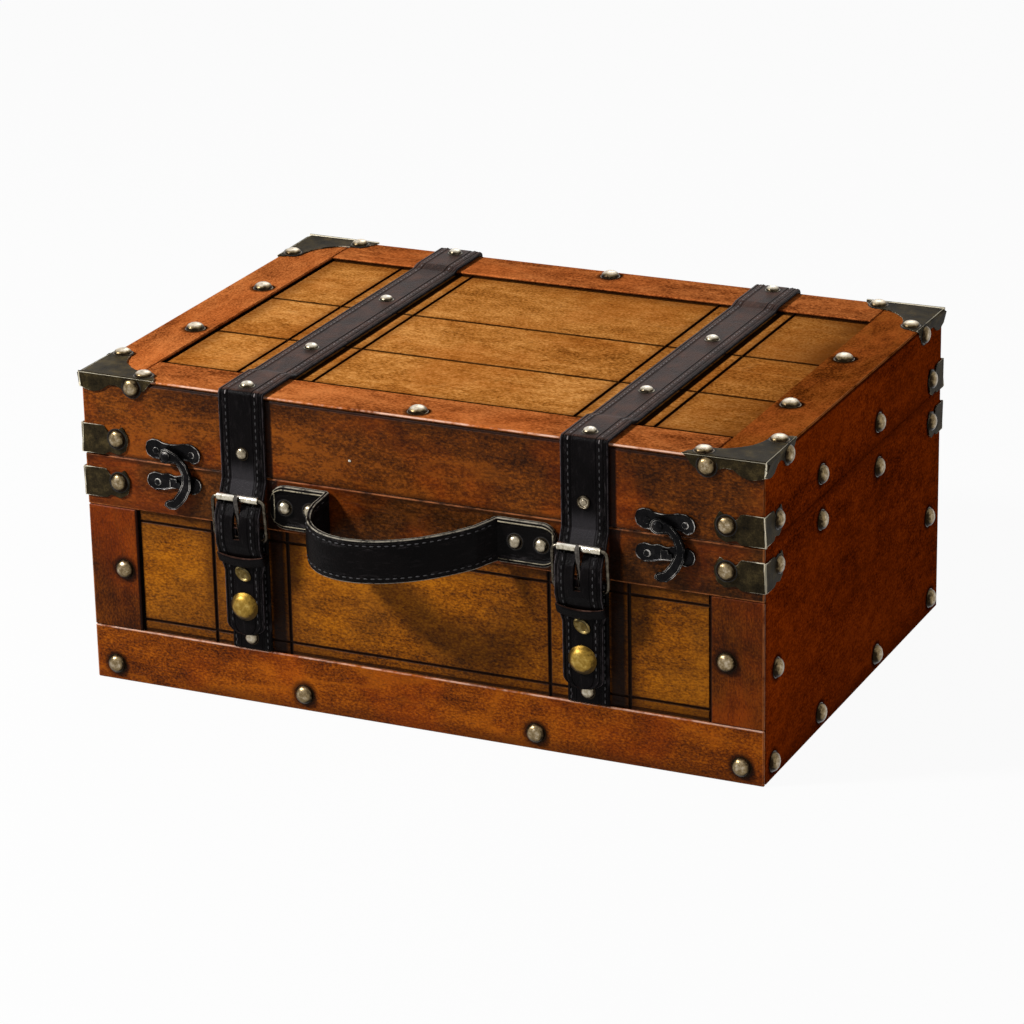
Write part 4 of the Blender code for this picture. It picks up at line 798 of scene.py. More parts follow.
# Width of the dark ring round nails: old polish and painted contact shade.
POLISH_AND_SHADE_RING = 0.12
METAL_FOLD = 0.0007
METAL_WAVE = 0.0008
METAL_RIM = 0.0006
METAL_EDGE = 0.00018
FOLD_ANGLE = math.radians(12)
PLATE_AREA = 0.00002
WORN_RIM = 0.85
WORN_FOLD = 1.5
BAND_SHARES = ((0, 0), (0.48, 0), (0.57, 0.12), (0.78, 0.03), (0.94, 0.19), (1, 0.50),
               (1, 0.69), (0.89, 1.03), (0.74, 0.84), (0.57, 0.78), (0.48, 1), (0, 1))
CAP_SHARES = ((0, 0), (1, 0), (0.955, -0.15), (0.87, -0.62), (0.75, -0.92), (0.62, -0.80),
              (0.50, -0.52), (0.39, -0.55), (0.28, -0.90), (0.18, -1), (0.09, -0.93), (0, -0.80))
CAP_TOP_SHARES = ((0, 0), (1, 0), (0.97, 0.09), (0.80, 0.27), (0.60, 0.31), (0.47, 0.40),
                  (0.36, 0.52), (0.30, 0.66), (0.26, 0.84), (0.09, 0.98), (0, 1))


def pressed_corner(name, side, end, plates, body, node):
    """Plates that meet at a corner: folded round it, waved at their ends and rimmed."""
    bm = new_mesh("rubbed")
    found = {}

    def corner_vert(place):
        key = tuple(round(value, 6) for value in place)
        if key not in found:
            found[key] = bm.verts.new(place)
        return found[key]

    for outline in plates:
        bm.faces.new([corner_vert(place) for place in outline])
    folds = [edge for edge in bm.edges if len(edge.link_faces) == 2]
    fold_ends = {vert for edge in folds for vert in edge.verts}
    waves = [vert for vert in bm.verts if vert not in fold_ends and len(vert.link_edges) == 2]
    bmesh.ops.bevel(bm, geom=waves, offset=METAL_WAVE, segments=3, profile=0.5, affect="VERTICES",
                    material=-1, clamp_overlap=True)
    folds = [edge for edge in bm.edges if len(edge.link_faces) == 2]
    bmesh.ops.bevel(bm, geom=folds, offset=METAL_FOLD, segments=4, profile=0.5, affect="EDGES",
                    material=-1, clamp_overlap=True)
    bmesh.ops.transform(bm, matrix=Matrix(((-side, 0, 0, side * (HALF_WIDTH + METAL_OUT)),
                                           (0, -end, 0, end * (BACK + METAL_OUT)),
                                           (0, 0, 1, 0), (0, 0, 0, 1))), verts=bm.verts)
    bmesh.ops.recalc_face_normals(bm, faces=bm.faces)
    middle = Vector((0, 0, LID_TOP / 2))
    biggest = max(bm.faces, key=lambda face: face.calc_area())
    if biggest.normal.dot(biggest.calc_center_median() - middle) < 0:
        bmesh.ops.reverse_faces(bm, faces=bm.faces)
    bmesh.ops.inset_region(bm, faces=bm.faces[:], thickness=METAL_RIM, depth=0, use_even_offset=True,
                           use_boundary=True)
    rubbed = bm.verts.layers.float["rubbed"]
    for vert in bm.verts:
        if vert.is_boundary:
            vert[rubbed] = WORN_RIM
    mark([edge for edge in bm.edges if len(edge.link_faces) == 2 and edge.calc_face_angle(0) > FOLD_ANGLE],
         rubbed, WORN_FOLD)
    mark([face for face in bm.faces if face.calc_area() > PLATE_AREA], rubbed, 0.0)
    made = piece(name, bm, "corner_metal", body, (node,), recalculated=False)
    wall = made.modifiers.new("sheet", "SOLIDIFY")
    wall.thickness = METAL
    wall.offset = -1
    rounded = made.modifiers.new("soft_edges", "BEVEL")
    rounded.width = METAL_EDGE
    rounded.segments = 2
    rounded.limit_method = "ANGLE"


def build_corners():
    """Bands on the base and the lid, and the caps on the lid's top corners, with their nails."""
    base_heads = []
    lid_heads = []
    top = LID_TOP + METAL_OUT
    for end_name, end in (("front", -1), ("back", 1)):
        for side_name, side in SIDES:
            corner = end_name + "_" + side_name
            wall_y = end * (BACK + METAL_OUT)
            wall_x = side * (HALF_WIDTH + METAL_OUT)
            for body, low, heads in (("base", BAND_LOW, base_heads), ("lid", LID_BAND_LOW, lid_heads)):
                plates = [[(along * BAND_ARM, 0, low + up * BAND_HEIGHT) for along, up in BAND_SHARES],
                          [(0, along * BAND_SIDE_ARM, low + up * BAND_HEIGHT) for along, up in BAND_SHARES]]
                node = body + "_corner_band_" + corner
                pressed_corner(node.replace("corner", "corner_metal"), side, end, plates, body, node)
                middle = low + BAND_HEIGHT * BAND_NAIL_SHARE
                heads.append((end_name, (side * (HALF_WIDTH - BAND_NAIL), wall_y, middle)))
                heads.append((side_name, (wall_x, end * (BACK - BAND_SIDE_NAIL), middle)))
            plates = [[(along * CAP_ARM, 0, top + up * CAP_DROP) for along, up in CAP_SHARES],
                      [(0, along * CAP_SIDE_ARM, top + up * CAP_DROP) for along, up in CAP_SHARES],
                      [(across * CAP_ARM, along * CAP_SIDE_ARM, top) for across, along in CAP_TOP_SHARES]]
            node = "lid_corner_cap_" + corner
            pressed_corner(node.replace("corner", "corner_metal"), side, end, plates, "lid", node)
            height = LID_TOP - CAP_NAIL_DROP
            lid_heads.append((end_name, (side * (HALF_WIDTH - CAP_NAIL), wall_y, height)))
            lid_heads.append((side_name, (wall_x, end * (BACK - CAP_SIDE_NAIL), height)))
            for inset_x, inset_y in ((CAP_TOP_NAIL, CAP_TOP_NAIL_INSET), (CAP_TOP_NAIL_INSET, CAP_TOP_NAIL)):
                lid_heads.append(("top", (side * (HALF_WIDTH - inset_x), end * (BACK - inset_y), top)))
    for body, heads in (("base", base_heads), ("lid", lid_heads)):
        domes(body + "_corner_nails", heads, CORNER_NAIL_RADIUS, CORNER_NAIL_RISE, "nail_metal", body,
              20, POLISH_AND_SHADE_RING)


build_corners()


class Route:
    """A path that a strip of leather or a wire follows, with its lengths and directions."""

    def __init__(self, points, across):
        self.points = [Vector(point) for point in points]
        self.across = Vector(across)
        self.lengths = [0.0]
        for before, after in zip(self.points, self.points[1:]):
            self.lengths.append(self.lengths[-1] + (after - before).length)

    def along(self, length):
        """Place and directions at a length: place, across, out, along."""
        length = min(max(length, 0), self.lengths[-1])
        index = next(place for place in range(1, len(self.lengths)) if self.lengths[place] >= length or
                     place == len(self.lengths) - 1)
        span = self.lengths[index] - self.lengths[index - 1]
        share = (length - self.lengths[index - 1]) / span
        place = self.points[index - 1].lerp(self.points[index], share)
        here = self.direction(index - 1).lerp(self.direction(index), share).normalized()
        out = here.cross(self.across).normalized()
        return place, self.across, out, here

    def direction(self, index):
        before = self.points[max(index - 1, 0)]
        after = self.points[min(index + 1, len(self.points) - 1)]
        return (after - before).normalized()


def filleted(points, radius, steps=6):
    """A path of straight runs with rounded corners."""
    path = [Vector(points[0])]
    for before, corner, after in zip(points, points[1:], points[2:]):
        corner = Vector(corner)
        back = Vector(before) - corner
        ahead = Vector(after) - corner
        turn = back.angle(ahead)
        reach = min(radius / math.tan(turn / 2), back.length / 2.02, ahead.length / 2.02)
        start = corner + back.normalized() * reach
        end = corner + ahead.normalized() * reach
        for step in range(steps + 1):
            share = step / steps
            path.append(start.lerp(corner, share).lerp(corner.lerp(end, share), share))
    path.append(Vector(points[-1]))
    return path


def swept(bm, route, profile, lengths, width=None, crown=None, capped=True, beads=None, tally=None):
    """Pull a closed cross-section of (across, out, bead) corners along a route.

    For a length, width gives the share of the full width, crown how far the middle bulges, and
    beads the share of each corner's bead. tally turns the length into the one that the mesh carries.
    """
    bead = bm.verts.layers.float.new("bead") if beads else None
    lie = bm.verts.layers.float_vector.get("lie") or bm.verts.layers.float_vector.new("lie")
    half = max(corner[0] for corner in profile)
    ring = [bm.verts.new((0, 0, 0)) for corner in profile]
    for vert, (across, out, *lift) in zip(ring, profile):
        vert[lie] = Vector((across, 0, out))
        if beads:
            vert[bead] = lift[0]
    edges = [bm.edges.new(pair) for pair in zip(ring, ring[1:] + ring[:1])]
    first = edges

    def seat(verts, length):
        place, across_way, out_way, along_way = route.along(length)
        wide = width(length) if width else 1
        bulge = crown(length) if crown else 0
        for vert in verts:
            across = vert[lie].x
            out = vert[lie].z + bulge * (1 - (across / half) ** 2)
            if beads:
                out += vert[bead] * beads(length)
            vert.co = place + across_way * across * wide + out_way * out
            vert[lie].y = tally(length) if tally else length

    seat(ring, lengths[0])
    for length in lengths[1:]:
        made = bmesh.ops.extrude_edge_only(bm, edges=edges)["geom"]
        edges = [part for part in made if isinstance(part, bmesh.types.BMEdge)]
        seat([part for part in made if isinstance(part, bmesh.types.BMVert)], length)
    if capped:
        bmesh.ops.holes_fill(bm, edges=first + edges, sides=0)


def spaced(start, end, pitch):
    """Lengths from start to end, about one pitch apart."""
    count = max(1, round((end - start) / pitch))
    return [start + (end - start) * step / count for step in range(count + 1)]


def merged(*rows):
    """Several rows of lengths as one, in order."""
    return sorted(set(round(value, 7) for row in rows for value in row))


def round_profile(across, out):
    """The cross-section of a wire."""
    turns = [math.tau * step / 12 for step in range(12)]
    return [(across * math.cos(turn), out * math.sin(turn)) for turn in turns]


STITCH_LENGTH = 0.0024
STITCH_PITCH = 0.0037
STITCH_WIDTH = 0.00036
STITCH_RISE = 0.00030


def sew(bm, route, across, rise, lengths, width=None, crown=None, half=1.0):
    """A row of stitches beside a strip's edge."""
    for length in lengths:
        place, across_way, out_way, along_way = route.along(length)
        wide = width(length) if width else 1
        bulge = (crown(length) if crown else 0) * (1 - (across / half) ** 2)
        spot = place + across_way * across * wide + out_way * (rise + bulge)
        turn = Matrix((across_way, along_way, out_way)).transposed().to_4x4()
        size = Matrix.Diagonal((STITCH_WIDTH, STITCH_LENGTH / 2, STITCH_RISE, 1))
        bmesh.ops.create_uvsphere(bm, u_segments=6, v_segments=5, radius=1,
                                  matrix=Matrix.Translation(spot) @ turn @ size)


# Straps and buckles: as packed, except the dip onto the planks and the keeper's sag
STRAP_HALF = 0.013
STRAP_BEND = 0.0019
LOOP_BEND = 0.0030
KEEPER_BEND = 0.0013
FRAME_BEND = 0.0034
TONGUE_BEND = 0.003
STRAP_GAP_LEAST = 0.00025
TIP_LEAST = 0.06
STRAP_TAIL = 0.0200
FOLD_HEIGHT = SEAM + 0.001
STRAP_DIP = 0.0015
DIP_EDGE = LID_END_EDGE - 0.0055
ROLLER_HEIGHT = SEAM - 0.0095
ROLLER_RADIUS = 0.0021
ROLLER_OUT = STRAP_MID + STRAP_THICKNESS / 2 + ROLLER_RADIUS + 0.0045
ROLLER_HALF = 0.0118
WIRE_RADIUS = 0.0010
FRAME_HALF = 0.0148
BAR_HEIGHT = SEAM - 0.032
PUFF_OUT = 0.0109
BAR_OUT = PUFF_OUT - STRAP_THICKNESS / 2 - FIT_GAP - 0.0019
PUFF_TOP = SEAM - 0.0189
PUFF_LOW = SEAM - 0.0345
FREE_OUT = 0.0058
FREE_LOW = SEAM - 0.086
FREE_HALF = 0.01125
KEEPER_LOW = SEAM - 0.0457
KEEPER_HEIGHT = 0.0056
TAPER = 0.0050
TIP_LENGTH = 0.0062
SNAP_HEIGHT = SEAM - 0.0700
EYELET_HEIGHT = SEAM - 0.0518
RIVET_HEIGHT = SEAM + 0.0125
SLOT_HALF = 0.0016
SLOT_LOW = SEAM - 0.0304
SLOT_HIGH = ROLLER_HEIGHT - ROLLER_RADIUS / 2
TONGUE_THICKNESS = 0.0014
TONGUE_HALF = 0.0013
TONGUE_EYE = 0.0019
TONGUE_TIP = Vector((0.0009, 0.0026))
FOLD_HALF = 0.0016
STRAP_STITCH = 0.00845
PUFF_REACH = 0.011
PUFF_RISE = 0.0014
EYELET_TURN = math.radians(-35)
EYELET_STRETCH = (1.42, 0.98, 1, 1)
KEEPER_FLARE = 0.42
KEEPER_SAG = 0.0022
BASE_STRAP_HALF = 0.0115
BASE_STRAP_TOP = SEAM - 0.030
BASE_STRAP_STITCH = 0.0093
BASE_STRAP_RIVET = 0.0368

# Turned profiles, as (radius, height) corners
RING_RIVET = ((0.0036, -0.0003), (0.0037, 0.0004), (0.0034, 0.0010), (0.0029, 0.0011), (0.0025, 0.0006),
              (0.0023, 0.0001), (0.0016, 0.0001), (0.0014, 0.0007), (0.0009, 0.0010), (0, 0.0011))
EYELET = ((0.0034, -0.0002), (0.0035, 0.0006), (0.0031, 0.0012), (0.0026, 0.0009), (0.0022, 0.0005),
          (0, 0.0006))
STUD_CAP = ((0.0060, -0.0006), (0.0076, -0.0004), (0.0078, 0.0002), (0.0075, 0.0006), (0.0070, 0.0009),
            (0.0064, 0.0019), (0.0054, 0.0028), (0.0040, 0.0034), (0.0022, 0.0037), (0, 0.0038))

# Cross-section of a strap: half of its face from the middle to the edge, then its back
STRAP_FACE = ((0.0019, 1.0), (0.0062, 1.0), (0.0066, 0.72), (0.0072, 0.72), (0.0076, 0.98), (0.0081, 0.92),
              (0.0088, 0.92), (0.0094, 1.0), (0.0102, 0.98), (0.0106, 0.70), (0.0110, 0.72), (0.0113, 0.96),
              (0.0121, 0.90), (0.0127, 0.55), (0.0130, 0.05), (0.0127, -0.70), (0.0122, -1.0), (0.0019, -1.0))


def mirrored_profile(half_face, thick):
    """A whole cross-section from one half of it."""
    right = [(across, out * thick / 2, *bead) for across, out, *bead in half_face]
    return right + [(-across, *rest) for across, *rest in reversed(right)]


def strap_route(across):
    """From the tail on the back, over the lid, behind the roller, over the bar and down to the tip."""
    top = LID_TOP + STRAP_MID
    turn = ROLLER_RADIUS + STRAP_THICKNESS / 2 + 2 * FIT_GAP
    over = filleted([(BACK + STRAP_MID, LID_TOP - STRAP_TAIL), (BACK + STRAP_MID, top),
                     (LID_END_EDGE + 0.0005, top), (DIP_EDGE, top - STRAP_DIP),
                     (-DIP_EDGE, top - STRAP_DIP), (-LID_END_EDGE - 0.0005, top),
                     (FRONT - STRAP_MID, top), (FRONT - STRAP_MID, FOLD_HEIGHT)], STRAP_BEND)
    low = [(STRAP_MID, FOLD_HEIGHT), (STRAP_MID, ROLLER_HEIGHT + 2 * turn)]
    for angle in (205, 227.5, 250):
        low.append((ROLLER_OUT + turn * math.cos(math.radians(angle)),
                    ROLLER_HEIGHT + turn * math.sin(math.radians(angle))))
    low += [(PUFF_OUT, PUFF_TOP), (PUFF_OUT, PUFF_LOW), (PUFF_OUT - 0.0017, PUFF_LOW - 0.0045),
            (FREE_OUT, KEEPER_LOW + 0.0015), (FREE_OUT, FREE_LOW)]
    under = filleted([(FRONT - out, height) for out, height in low], LOOP_BEND, 4)
    return Route([(across, place.x, place.y) for place in over[:-1] + under], (1, 0, 0))


def length_at(route, height):
    """How far along a strap its front part passes a height."""
    for index in range(len(route.points) - 1, 0, -1):
        low, high = route.points[index], route.points[index - 1]
        if low.z <= height <= high.z and low.y < FRONT:
            return route.lengths[index] - (height - low.z)
    return route.lengths[-1]


def build_strap(side_name, side):
    """One strap from tail to tip, its stitches, keeper, rivets, eyelet and stud cap."""
    across = side * STRAP_OFFSET
    lid, end = "lid", "strap_end_" + side_name
    route = strap_route(across)
    whole = route.lengths[-1]
    taper_start = whole - (KEEPER_LOW - FREE_LOW)
    fold = length_at(route, FOLD_HEIGHT)

    def width(length):
        share = 1 - (1 - FREE_HALF / STRAP_HALF) * min(max((length - taper_start) / TAPER, 0), 1)
        to_tip = whole - length
        if to_tip < TIP_LENGTH:
            share *= max(math.sqrt(max(1 - (1 - to_tip / TIP_LENGTH) ** 2, 0)), TIP_LEAST)
        return share

    puff_middle = length_at(route, (PUFF_TOP + PUFF_LOW) / 2)

    def crown(length):
        near = max(1 - abs(length - puff_middle) / PUFF_REACH, 0)
        return PUFF_RISE * near * near * (3 - 2 * near)

    lengths = merged(spaced(0, fold - 0.004, 0.004), spaced(fold - 0.004, fold + 0.004, 0.0008),
                     spaced(fold + 0.004, whole - 0.008, 0.0016), spaced(whole - 0.008, whole, 0.0006),
                     route.lengths)
    kept = [lengths[0]]
    for length in lengths[1:]:
        if length - kept[-1] > STRAP_GAP_LEAST:
            kept.append(length)
    kept[-1] = whole
    bm = bmesh.new()
    swept(bm, route, mirrored_profile(STRAP_FACE, STRAP_THICKNESS), kept, width, crown)
    cut_slot(bm, across)
    strap = piece("strap_" + side_name, bm, "strap_leather", None,
                  ("lid_strap_" + side_name, "strap_end_" + side_name))
    start, stop = (across, FRONT, FOLD_HEIGHT + FOLD_HALF), (across, FRONT, FOLD_HEIGHT - FOLD_HALF)
    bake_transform(strap, lid, end, start=start, end=stop)

    bm = bmesh.new()
    for sign in (-1, 1):
        sew(bm, route, sign * STRAP_STITCH, STRAP_THICKNESS / 2 - 0.00005,
            spaced(0.003, whole - TIP_LENGTH - 0.002, STITCH_PITCH), width, crown, STRAP_HALF)
    thread = piece("strap_thread_" + side_name, bm, "thread", None)
    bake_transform(thread, lid, end, start=start, end=stop)

    surface = LID_TOP + STRAP_SURFACE
    heads = [("top", (across, share * BACK, surface - (STRAP_DIP if abs(share) * BACK < DIP_EDGE else 0)))
             for share in STRAP_NAIL_SHARES]
    domes("strap_nails_" + side_name, heads, SMALL_NAIL_RADIUS, SMALL_NAIL_RISE, "strap_nail_metal", lid,
          24, POLISH_AND_SHADE_RING)
    rivet = RING_RIVET if side > 0 else dome_profile(SMALL_NAIL_RADIUS * 0.88, 0.0020)
    seat = on("front", (across, FRONT - STRAP_SURFACE, RIVET_HEIGHT))
    turned_piece("strap_rivet_" + side_name, rivet, seat, 28, "strap_nail_metal", lid)

    front = FRONT - FREE_OUT - STRAP_THICKNESS / 2
    oval = on("front", (across, front, EYELET_HEIGHT)) @ Matrix.Rotation(EYELET_TURN, 4, "Z")
    turned_piece("eyelet_" + side_name, EYELET, oval @ Matrix.Diagonal(EYELET_STRETCH), 28, "eyelet_metal",
                 end)
    turned_piece("stud_cap_" + side_name, STUD_CAP, on("front", (across, front, SNAP_HEIGHT)), 36,
                 "stud_brass", end, ("snap_cap_" + side_name,))
    build_keeper(side_name, across, end)


def cut_slot(bm, across):
    """Open the slot that the tongue comes through, and wall it."""
    def in_slot(face):
        middle = face.calc_center_median()
        return (abs(middle.x - across) < SLOT_HALF * 0.9 and SLOT_LOW < middle.z < SLOT_HIGH
                and middle.y < FRONT - ROLLER_RADIUS)
    faces = [face for face in bm.faces if in_slot(face)]
    bmesh.ops.delete(bm, geom=faces, context="FACES")
    rims = [edge for edge in bm.edges if edge.is_boundary]
    bmesh.ops.bridge_loops(bm, edges=rims)


def build_keeper(side_name, across, end):
    """The loop that the free end passes through."""
    half = STRAP_HALF + 0.0001
    depth = STRAP_THICKNESS / 2 + 0.0009
    height = KEEPER_LOW + KEEPER_HEIGHT / 2
    start = (0, -depth)
    path = filleted([start, (half, -depth), (half, depth), (-half, depth), (-half, -depth), start],
                    KEEPER_BEND, 4)
    points = [(across + place.x, FRONT - FREE_OUT - place.y, height) for place in path]
    route = Route(points, (0, 0, 1))
    profile = mirrored_profile(((0.0014, 1.0), (0.0022, 0.9), (0.0027, 0.5), (0.0028, 0), (0.0027, -0.6),
                                (0.0022, -1.0), (0.0014, -1.0)), 0.0013)
    bm = bmesh.new()
    swept(bm, route, profile, merged(route.lengths, spaced(0, route.lengths[-1], 0.0025)), capped=False)
    for vert in bm.verts:
        forward = max(FRONT - FREE_OUT - vert.co.y, 0) / depth
        vert.co.y -= (vert.co.z - KEEPER_LOW) * KEEPER_FLARE * min(forward, 1)
        vert.co.z -= KEEPER_SAG * (1 - min(abs(vert.co.x - across) / half, 1) ** 2) * min(forward, 1)
    piece("strap_keeper_" + side_name, bm, "strap_leather", end)


def build_buckle(side_name, side):
    """Wire frame, roller and tongue."""
    across = side * STRAP_OFFSET
    end = "strap_end_" + side_name
    rise = ROLLER_HEIGHT - BAR_HEIGHT
    path = filleted([(0, 0), (FRAME_HALF, 0), (FRAME_HALF, rise), (-FRAME_HALF, rise), (-FRAME_HALF, 0),
                     (0, 0)], FRAME_BEND, 8)
    tilt = (ROLLER_OUT - BAR_OUT) / rise
    points = [(across + place.x, FRONT - BAR_OUT - tilt * place.y, BAR_HEIGHT + place.y) for place in path]
    route = Route(points, Vector((0, -1, -tilt)).normalized())
    bm = bmesh.new()
    swept(bm, route, round_profile(WIRE_RADIUS, WIRE_RADIUS), route.lengths, capped=False)
    piece("buckle_wire_" + side_name, bm, "buckle_wire_metal", end,
          ("buckle_frame_" + side_name,))

    bore = WIRE_RADIUS + 0.0003
    outer = ROLLER_RADIUS
    profile = [(bore, -ROLLER_HALF), (outer - 0.0003, -ROLLER_HALF), (outer, -ROLLER_HALF + 0.0003),
               (outer, -0.0002), (outer - 0.00012, 0), (outer, 0.0002), (outer, ROLLER_HALF - 0.0003),
               (outer - 0.0003, ROLLER_HALF), (bore, ROLLER_HALF), (bore, -ROLLER_HALF)]
    seat = Matrix.Translation((across, FRONT - ROLLER_OUT, ROLLER_HEIGHT)) @ QUARTER_TURN
    turned_piece("roller_" + side_name, profile, seat, 32, "buckle_silver", "roller_" + side_name,
                 ("buckle_roller_" + side_name,))

    start = (FRONT - BAR_OUT, BAR_HEIGHT)
    rest = Vector((FRONT - ROLLER_OUT - ROLLER_RADIUS - FIT_GAP - TONGUE_THICKNESS / 2, ROLLER_HEIGHT))
    path = filleted([start, rest, rest + TONGUE_TIP], TONGUE_BEND, 4)
    route = Route([(across, place.x, place.y) for place in reversed(path)], (1, 0, 0))
    bm = bmesh.new()
    swept(bm, route, round_profile(TONGUE_HALF, TONGUE_THICKNESS / 2),
          spaced(0, route.lengths[-1] - 0.0012, 0.0012), lambda length: min(1, 0.45 + length / 0.003))
    made = new_mesh("share")
    turned(made, [(TONGUE_HALF, -0.0013), (TONGUE_EYE, -0.0011), (TONGUE_EYE, 0.0011), (TONGUE_HALF, 0.0013),
                  (TONGUE_HALF, -0.0013)],
           Matrix.Translation((across, FRONT - BAR_OUT, BAR_HEIGHT)) @ QUARTER_TURN)
    eye = bpy.data.meshes.new("tongue_eye")
    made.to_mesh(eye)
    made.free()
    bm.from_mesh(eye)
    piece("tongue_" + side_name, bm, "tongue_steel", "tongue_" + side_name,
          ("buckle_tongue_" + side_name,))


def build_base_strap(side_name, side):
    """The short strap that is riveted to the base under the free end."""
    across = side * STRAP_OFFSET
    panel = FRONT + TRIM_THICKNESS + FIT_GAP
    middle = panel - FIT_GAP - STRAP_THICKNESS / 2
    low, high = BOTTOM_RAIL_TOP + 2 * FIT_GAP, BASE_STRAP_TOP
    route = Route([(across, middle, high), (across, middle, low)], (1, 0, 0))
    share = BASE_STRAP_HALF / STRAP_HALF
    bm = bmesh.new()
    profile = mirrored_profile([(place * share, out) for place, out in STRAP_FACE], STRAP_THICKNESS)
    swept(bm, route, profile, spaced(0, high - low, 0.003))
    piece("base_strap_leather_" + side_name, bm, "strap_leather", "base",
          ("base_strap_" + side_name,))
    bm = bmesh.new()
    for sign in (-1, 1):
        sew(bm, route, sign * BASE_STRAP_STITCH, STRAP_THICKNESS / 2,
            spaced(0.002, high - low - 0.002, STITCH_PITCH))
    piece("base_strap_thread_" + side_name, bm, "thread", "base")
    front = middle - STRAP_THICKNESS / 2
    domes("base_strap_rivet_" + side_name, [("front", (across, front, BASE_STRAP_RIVET))], SMALL_NAIL_RADIUS,
          SMALL_NAIL_RISE, "strap_nail_metal", "base")
    tall = front - (FRONT - FREE_OUT + STRAP_THICKNESS / 2 + FIT_GAP)
    post = [(0.0044, -0.0002), (0.0044, tall * 0.35), (0.0032, tall * 0.45), (0.0032, tall * 0.8),
            (0.0038, tall * 0.9), (0.0036, tall), (0, tall)]
    turned_piece("stud_post_" + side_name, post, on("front", (across, front, SNAP_HEIGHT)), 28, "stud_brass",
                 "base")


for side_name, side in SIDES:
    build_strap(side_name, side)
    build_buckle(side_name, side)
    build_base_strap(side_name, side)

# Carry handle
TAB_INNER = STRAP_OFFSET - 0.0155 - 0.0315
TAB_LENGTH = 0.0315
TAB_HALF = 0.0118
TAB_CORNER = 0.0080
TAB_OUT = FIT_GAP + 0.0012
HANDLE_HEIGHT = SEAM - 0.0138
HANDLE_SEEN = 0.0024
HANDLE_ROOT_OUT = 0.0037
HANDLE_PULL = 0.0475
HANDLE_LEAN_LEFT = -1.245
HANDLE_LEAN_RIGHT = 0.145
HANDLE_DROOP = 0.265
TAB_RIVETS = (0.0090, 0.0235)
TAB_RIVET_RISE = NAIL_RISE - 0.0006
TAB_POLISH_AND_SHADE = 0.14
HANDLE_STITCH = 0.0090
HANDLE_FOLD = (0.0026, 0.0075)
HANDLE_BEND = 0.0016
HANDLE_GAP_LEAST = 0.00035
HANDLE_STEPS = 60

# Cross-section of the handle: half of its face from the middle to the edge, then its back. The third
# number is what a bead on the tabs adds there.
HANDLE_FACE = ((0.0020, 1.0, -0.0003), (0.0070, 1.0, -0.0003),
               (0.0080, 0.96, -0.0002), (0.0084, 0.86, -0.0001),
               (0.0089, 0.86, 0.0002), (0.0094, 0.96, 0.0006), (0.0099, 1.0, 0.0007), (0.0103, 0.92, 0.0004),
               (0.0106, 0.84, 0), (0.0109, 0.90, 0.0001), (0.0112, 1.0, 0.0003), (0.0117, 0.86, 0.0001),
               (0.0118, 0.60, 0), (0.0114, 0.24, 0), (0.0114, -0.24, 0), (0.0118, -0.60, 0),
               (0.0117, -0.86, 0), (0.0112, -1.0, 0), (0.0020, -1.0, 0))


